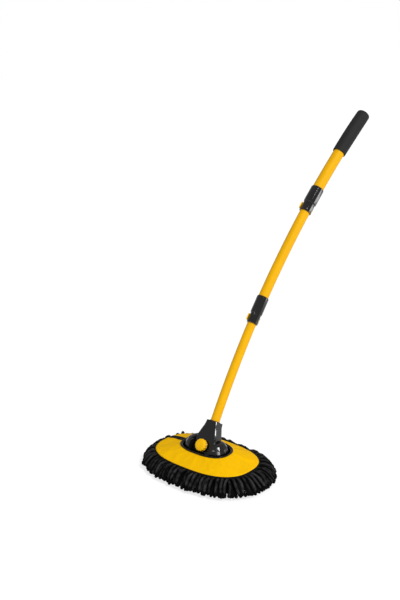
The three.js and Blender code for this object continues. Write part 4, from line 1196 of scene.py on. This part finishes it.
GRIP_SWELL = 0.5 * MM
GRIP_STEPS = 26
GRIP_BORE_GAP = 0.25 * MM
GRIP_BORE_WALL = 0.7 * MM
GRIP_BORE_DEPTH = 1.2 * MM
GRIP_BORE_EDGE = 0.2 * MM
GRIP_ROUNDING = 1.8 * MM
GRIP_SIDE_START = 4 * MM
GRIP_SIDE_END = 8 * MM
DOME_RADIUS = 5 * MM
DOME_START = 6 * MM
DOME_RISE = 4.4 * MM
DOME_STEPS = 12
GRIP_END_SHARE = 0.4
GRIP_END_EDGE = 0.7 * MM


def build_grip():
    """The foam sleeve, slightly swollen, with a domed end."""
    low, high, reach = pole_extent("foam_grip")
    radius = reach - GRIP_SWELL
    mouth = (radius - GRIP_ROUNDING, low)
    profile = [
        (UPPER_RADIUS + GRIP_BORE_GAP, low + GRIP_BORE_DEPTH),
        (UPPER_RADIUS + GRIP_BORE_WALL, low + GRIP_BORE_EDGE), mouth,
    ]
    profile += rounded((radius, low), mouth, (radius, high), GRIP_ROUNDING)
    for height in np.linspace(low + GRIP_SIDE_START, high - GRIP_SIDE_END, GRIP_STEPS):
        share = (height - low) / (high - low)
        profile.append((radius + GRIP_SWELL * sin(share * pi), height))
    for angle in np.linspace(0, QUARTER_TURN, DOME_STEPS + 1):
        profile.append((
            radius - DOME_RADIUS * (1 - cos(angle)),
            high - DOME_START + DOME_RISE * sin(angle)))
    profile += [(radius * GRIP_END_SHARE, high - GRIP_END_EDGE), (0, high - GRIP_BORE_EDGE)]
    grip = turned_piece("grip_sleeve", profile, GRIP_FOAM, pole_places, TUBE_SIDES)
    finish_piece(grip, "upper", "grip_foam", "foam_grip")


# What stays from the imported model

def dress_nodes():
    """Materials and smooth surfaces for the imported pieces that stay."""
    finishes = {
        "steel": STEEL, "brass": BRASS, "grey_plastic": GREY_PLASTIC, "black_gloss": BLACK_TUB,
        "black_tape": BLACK_TAPE, "yellow_gloss": YELLOW_GLOSS, "yellow_tube": YELLOW_TUBE,
    }
    for subpart in frame["record"]["subparts"]:
        node = frame["nodes"][subpart["node"]]
        finish = finishes.get(subpart["material_slot"])
        if finish is not None:
            node.data.materials.clear()
            node.data.materials.append(finish)
        crease(node, EDGE_CREASE)


# Picture

FLOOR_HALF = 12
FLOOR_DROP = 0.5 * MM
AMBIENT = 0.45
KEY_TURN = radians(-14)
KEY_HEIGHT = radians(46)
KEY_SPREAD = radians(18)
KEY_POWER = 2.3

# Small lamps: their places and sides in metres
LAMPS = {
    "glint": ((0.3, -2.2, 1.6), (0.4, 0.4)),
    "ridge": ((1.97, -1.19, 0.78), (0.3, 0.5)),
    "side": ((1.4, 1.5, 0.3), (0.5, 0.5)),
}
LAMP_TARGET = Vector((0, 0, 0.1))
LAMP_POWER = 5


def way_from_angles(turn, height):
    """The way at a turn about the vertical, measured from X, and at a height."""
    return Vector((cos(turn) * cos(height), sin(turn) * cos(height), sin(height)))


def build_camera():
    camera = bpy.data.cameras.new("camera")
    camera.sensor_width = SENSOR
    camera.lens = LENS
    right = way_from_angles(CAMERA_AZIMUTH, 0)
    back = way_from_angles(CAMERA_AZIMUTH - QUARTER_TURN, CAMERA_ELEVATION)
    turn = Matrix((right, back.cross(right), back)).transposed().to_4x4()
    holder = new_object("camera", camera)
    holder.matrix_world = Matrix.Translation(CAMERA_PLACE) @ turn
    bpy.context.scene.camera = holder


def add_lamp(name, kind, power, way):
    """A lamp that shines one way, and its holder."""
    lamp = bpy.data.lights.new(name, kind)
    lamp.energy = power
    holder = new_object(name, lamp)
    holder.rotation_euler = way.to_track_quat("-Z", "Y").to_euler()
    return lamp, holder


def build_lamps():
    """One broad lamp above the camera's right, and small ones that the gloss mirrors."""
    key, _ = add_lamp("key", "SUN", KEY_POWER, -way_from_angles(KEY_TURN, KEY_HEIGHT))
    key.angle = KEY_SPREAD
    for name, (place, size) in LAMPS.items():
        lamp, holder = add_lamp(name, "AREA", LAMP_POWER, LAMP_TARGET - Vector(place))
        lamp.shape = "RECTANGLE"
        lamp.size, lamp.size_y = size
        holder.location = place


def white_for_camera(real, seen, output):
    """Shows one surface to the camera and the real one to all other light."""
    tree = real.id_data
    mix = tree.nodes.new("ShaderNodeMixShader")
    link(tree.nodes.new("ShaderNodeLightPath"), "Is Camera Ray", mix, "Fac")
    link(real, 0, mix, 1)
    link(seen, 0, mix, 2)
    link(mix, 0, tree.nodes[output], "Surface")


def build_floor():
    """A floor that the camera sees as white, apart from a soft shadow."""
    material, tree, shader = new_material("floor")
    shader.inputs["Base Color"].default_value = (0.8, 0.8, 0.8, 1)
    shader.inputs["Roughness"].default_value = 0.9
    both = tree.nodes.new("ShaderNodeAddShader")
    link(new_node(tree, "ShaderNodeBsdfDiffuse", Color=(0.3, 0.3, 0.3, 1)), "BSDF", both, 0)
    link(new_node(tree, "ShaderNodeEmission", Strength=0.74), "Emission", both, 1)
    white_for_camera(shader, both, "Material Output")
    half = FLOOR_HALF
    places = [(-half, -half, 0), (half, -half, 0), (half, half, 0), (-half, half, 0)]
    floor = mesh_object("floor", places, [(0, 1, 2, 3)], material)
    floor.location.z = -FLOOR_DROP


def build_world():
    """Even light from all round, in front of a white background."""
    world = bpy.data.worlds.new("studio")
    bpy.context.scene.world = world
    world.use_nodes = True
    ambient = world.node_tree.nodes["Background"]
    ambient.inputs["Color"].default_value = (1, 1, 1, 1)
    ambient.inputs["Strength"].default_value = AMBIENT
    white = new_node(world.node_tree, "ShaderNodeBackground", Color=(1, 1, 1, 1))
    white_for_camera(ambient, white, "World Output")


def build_picture():
    build_camera()
    build_floor()
    build_world()
    build_lamps()
    bpy.context.scene.view_settings.view_transform = "Standard"


def build_brush():
    dress_nodes()
    build_cover()
    build_tapes()
    build_noodles()
    build_backing()
    build_sponges()
    build_bracket()
    build_socket()
    build_knob()
    for node, body in TUBES.items():
        build_tube(node, body)
    build_locks()
    build_grip()


build_picture()
build_brush()
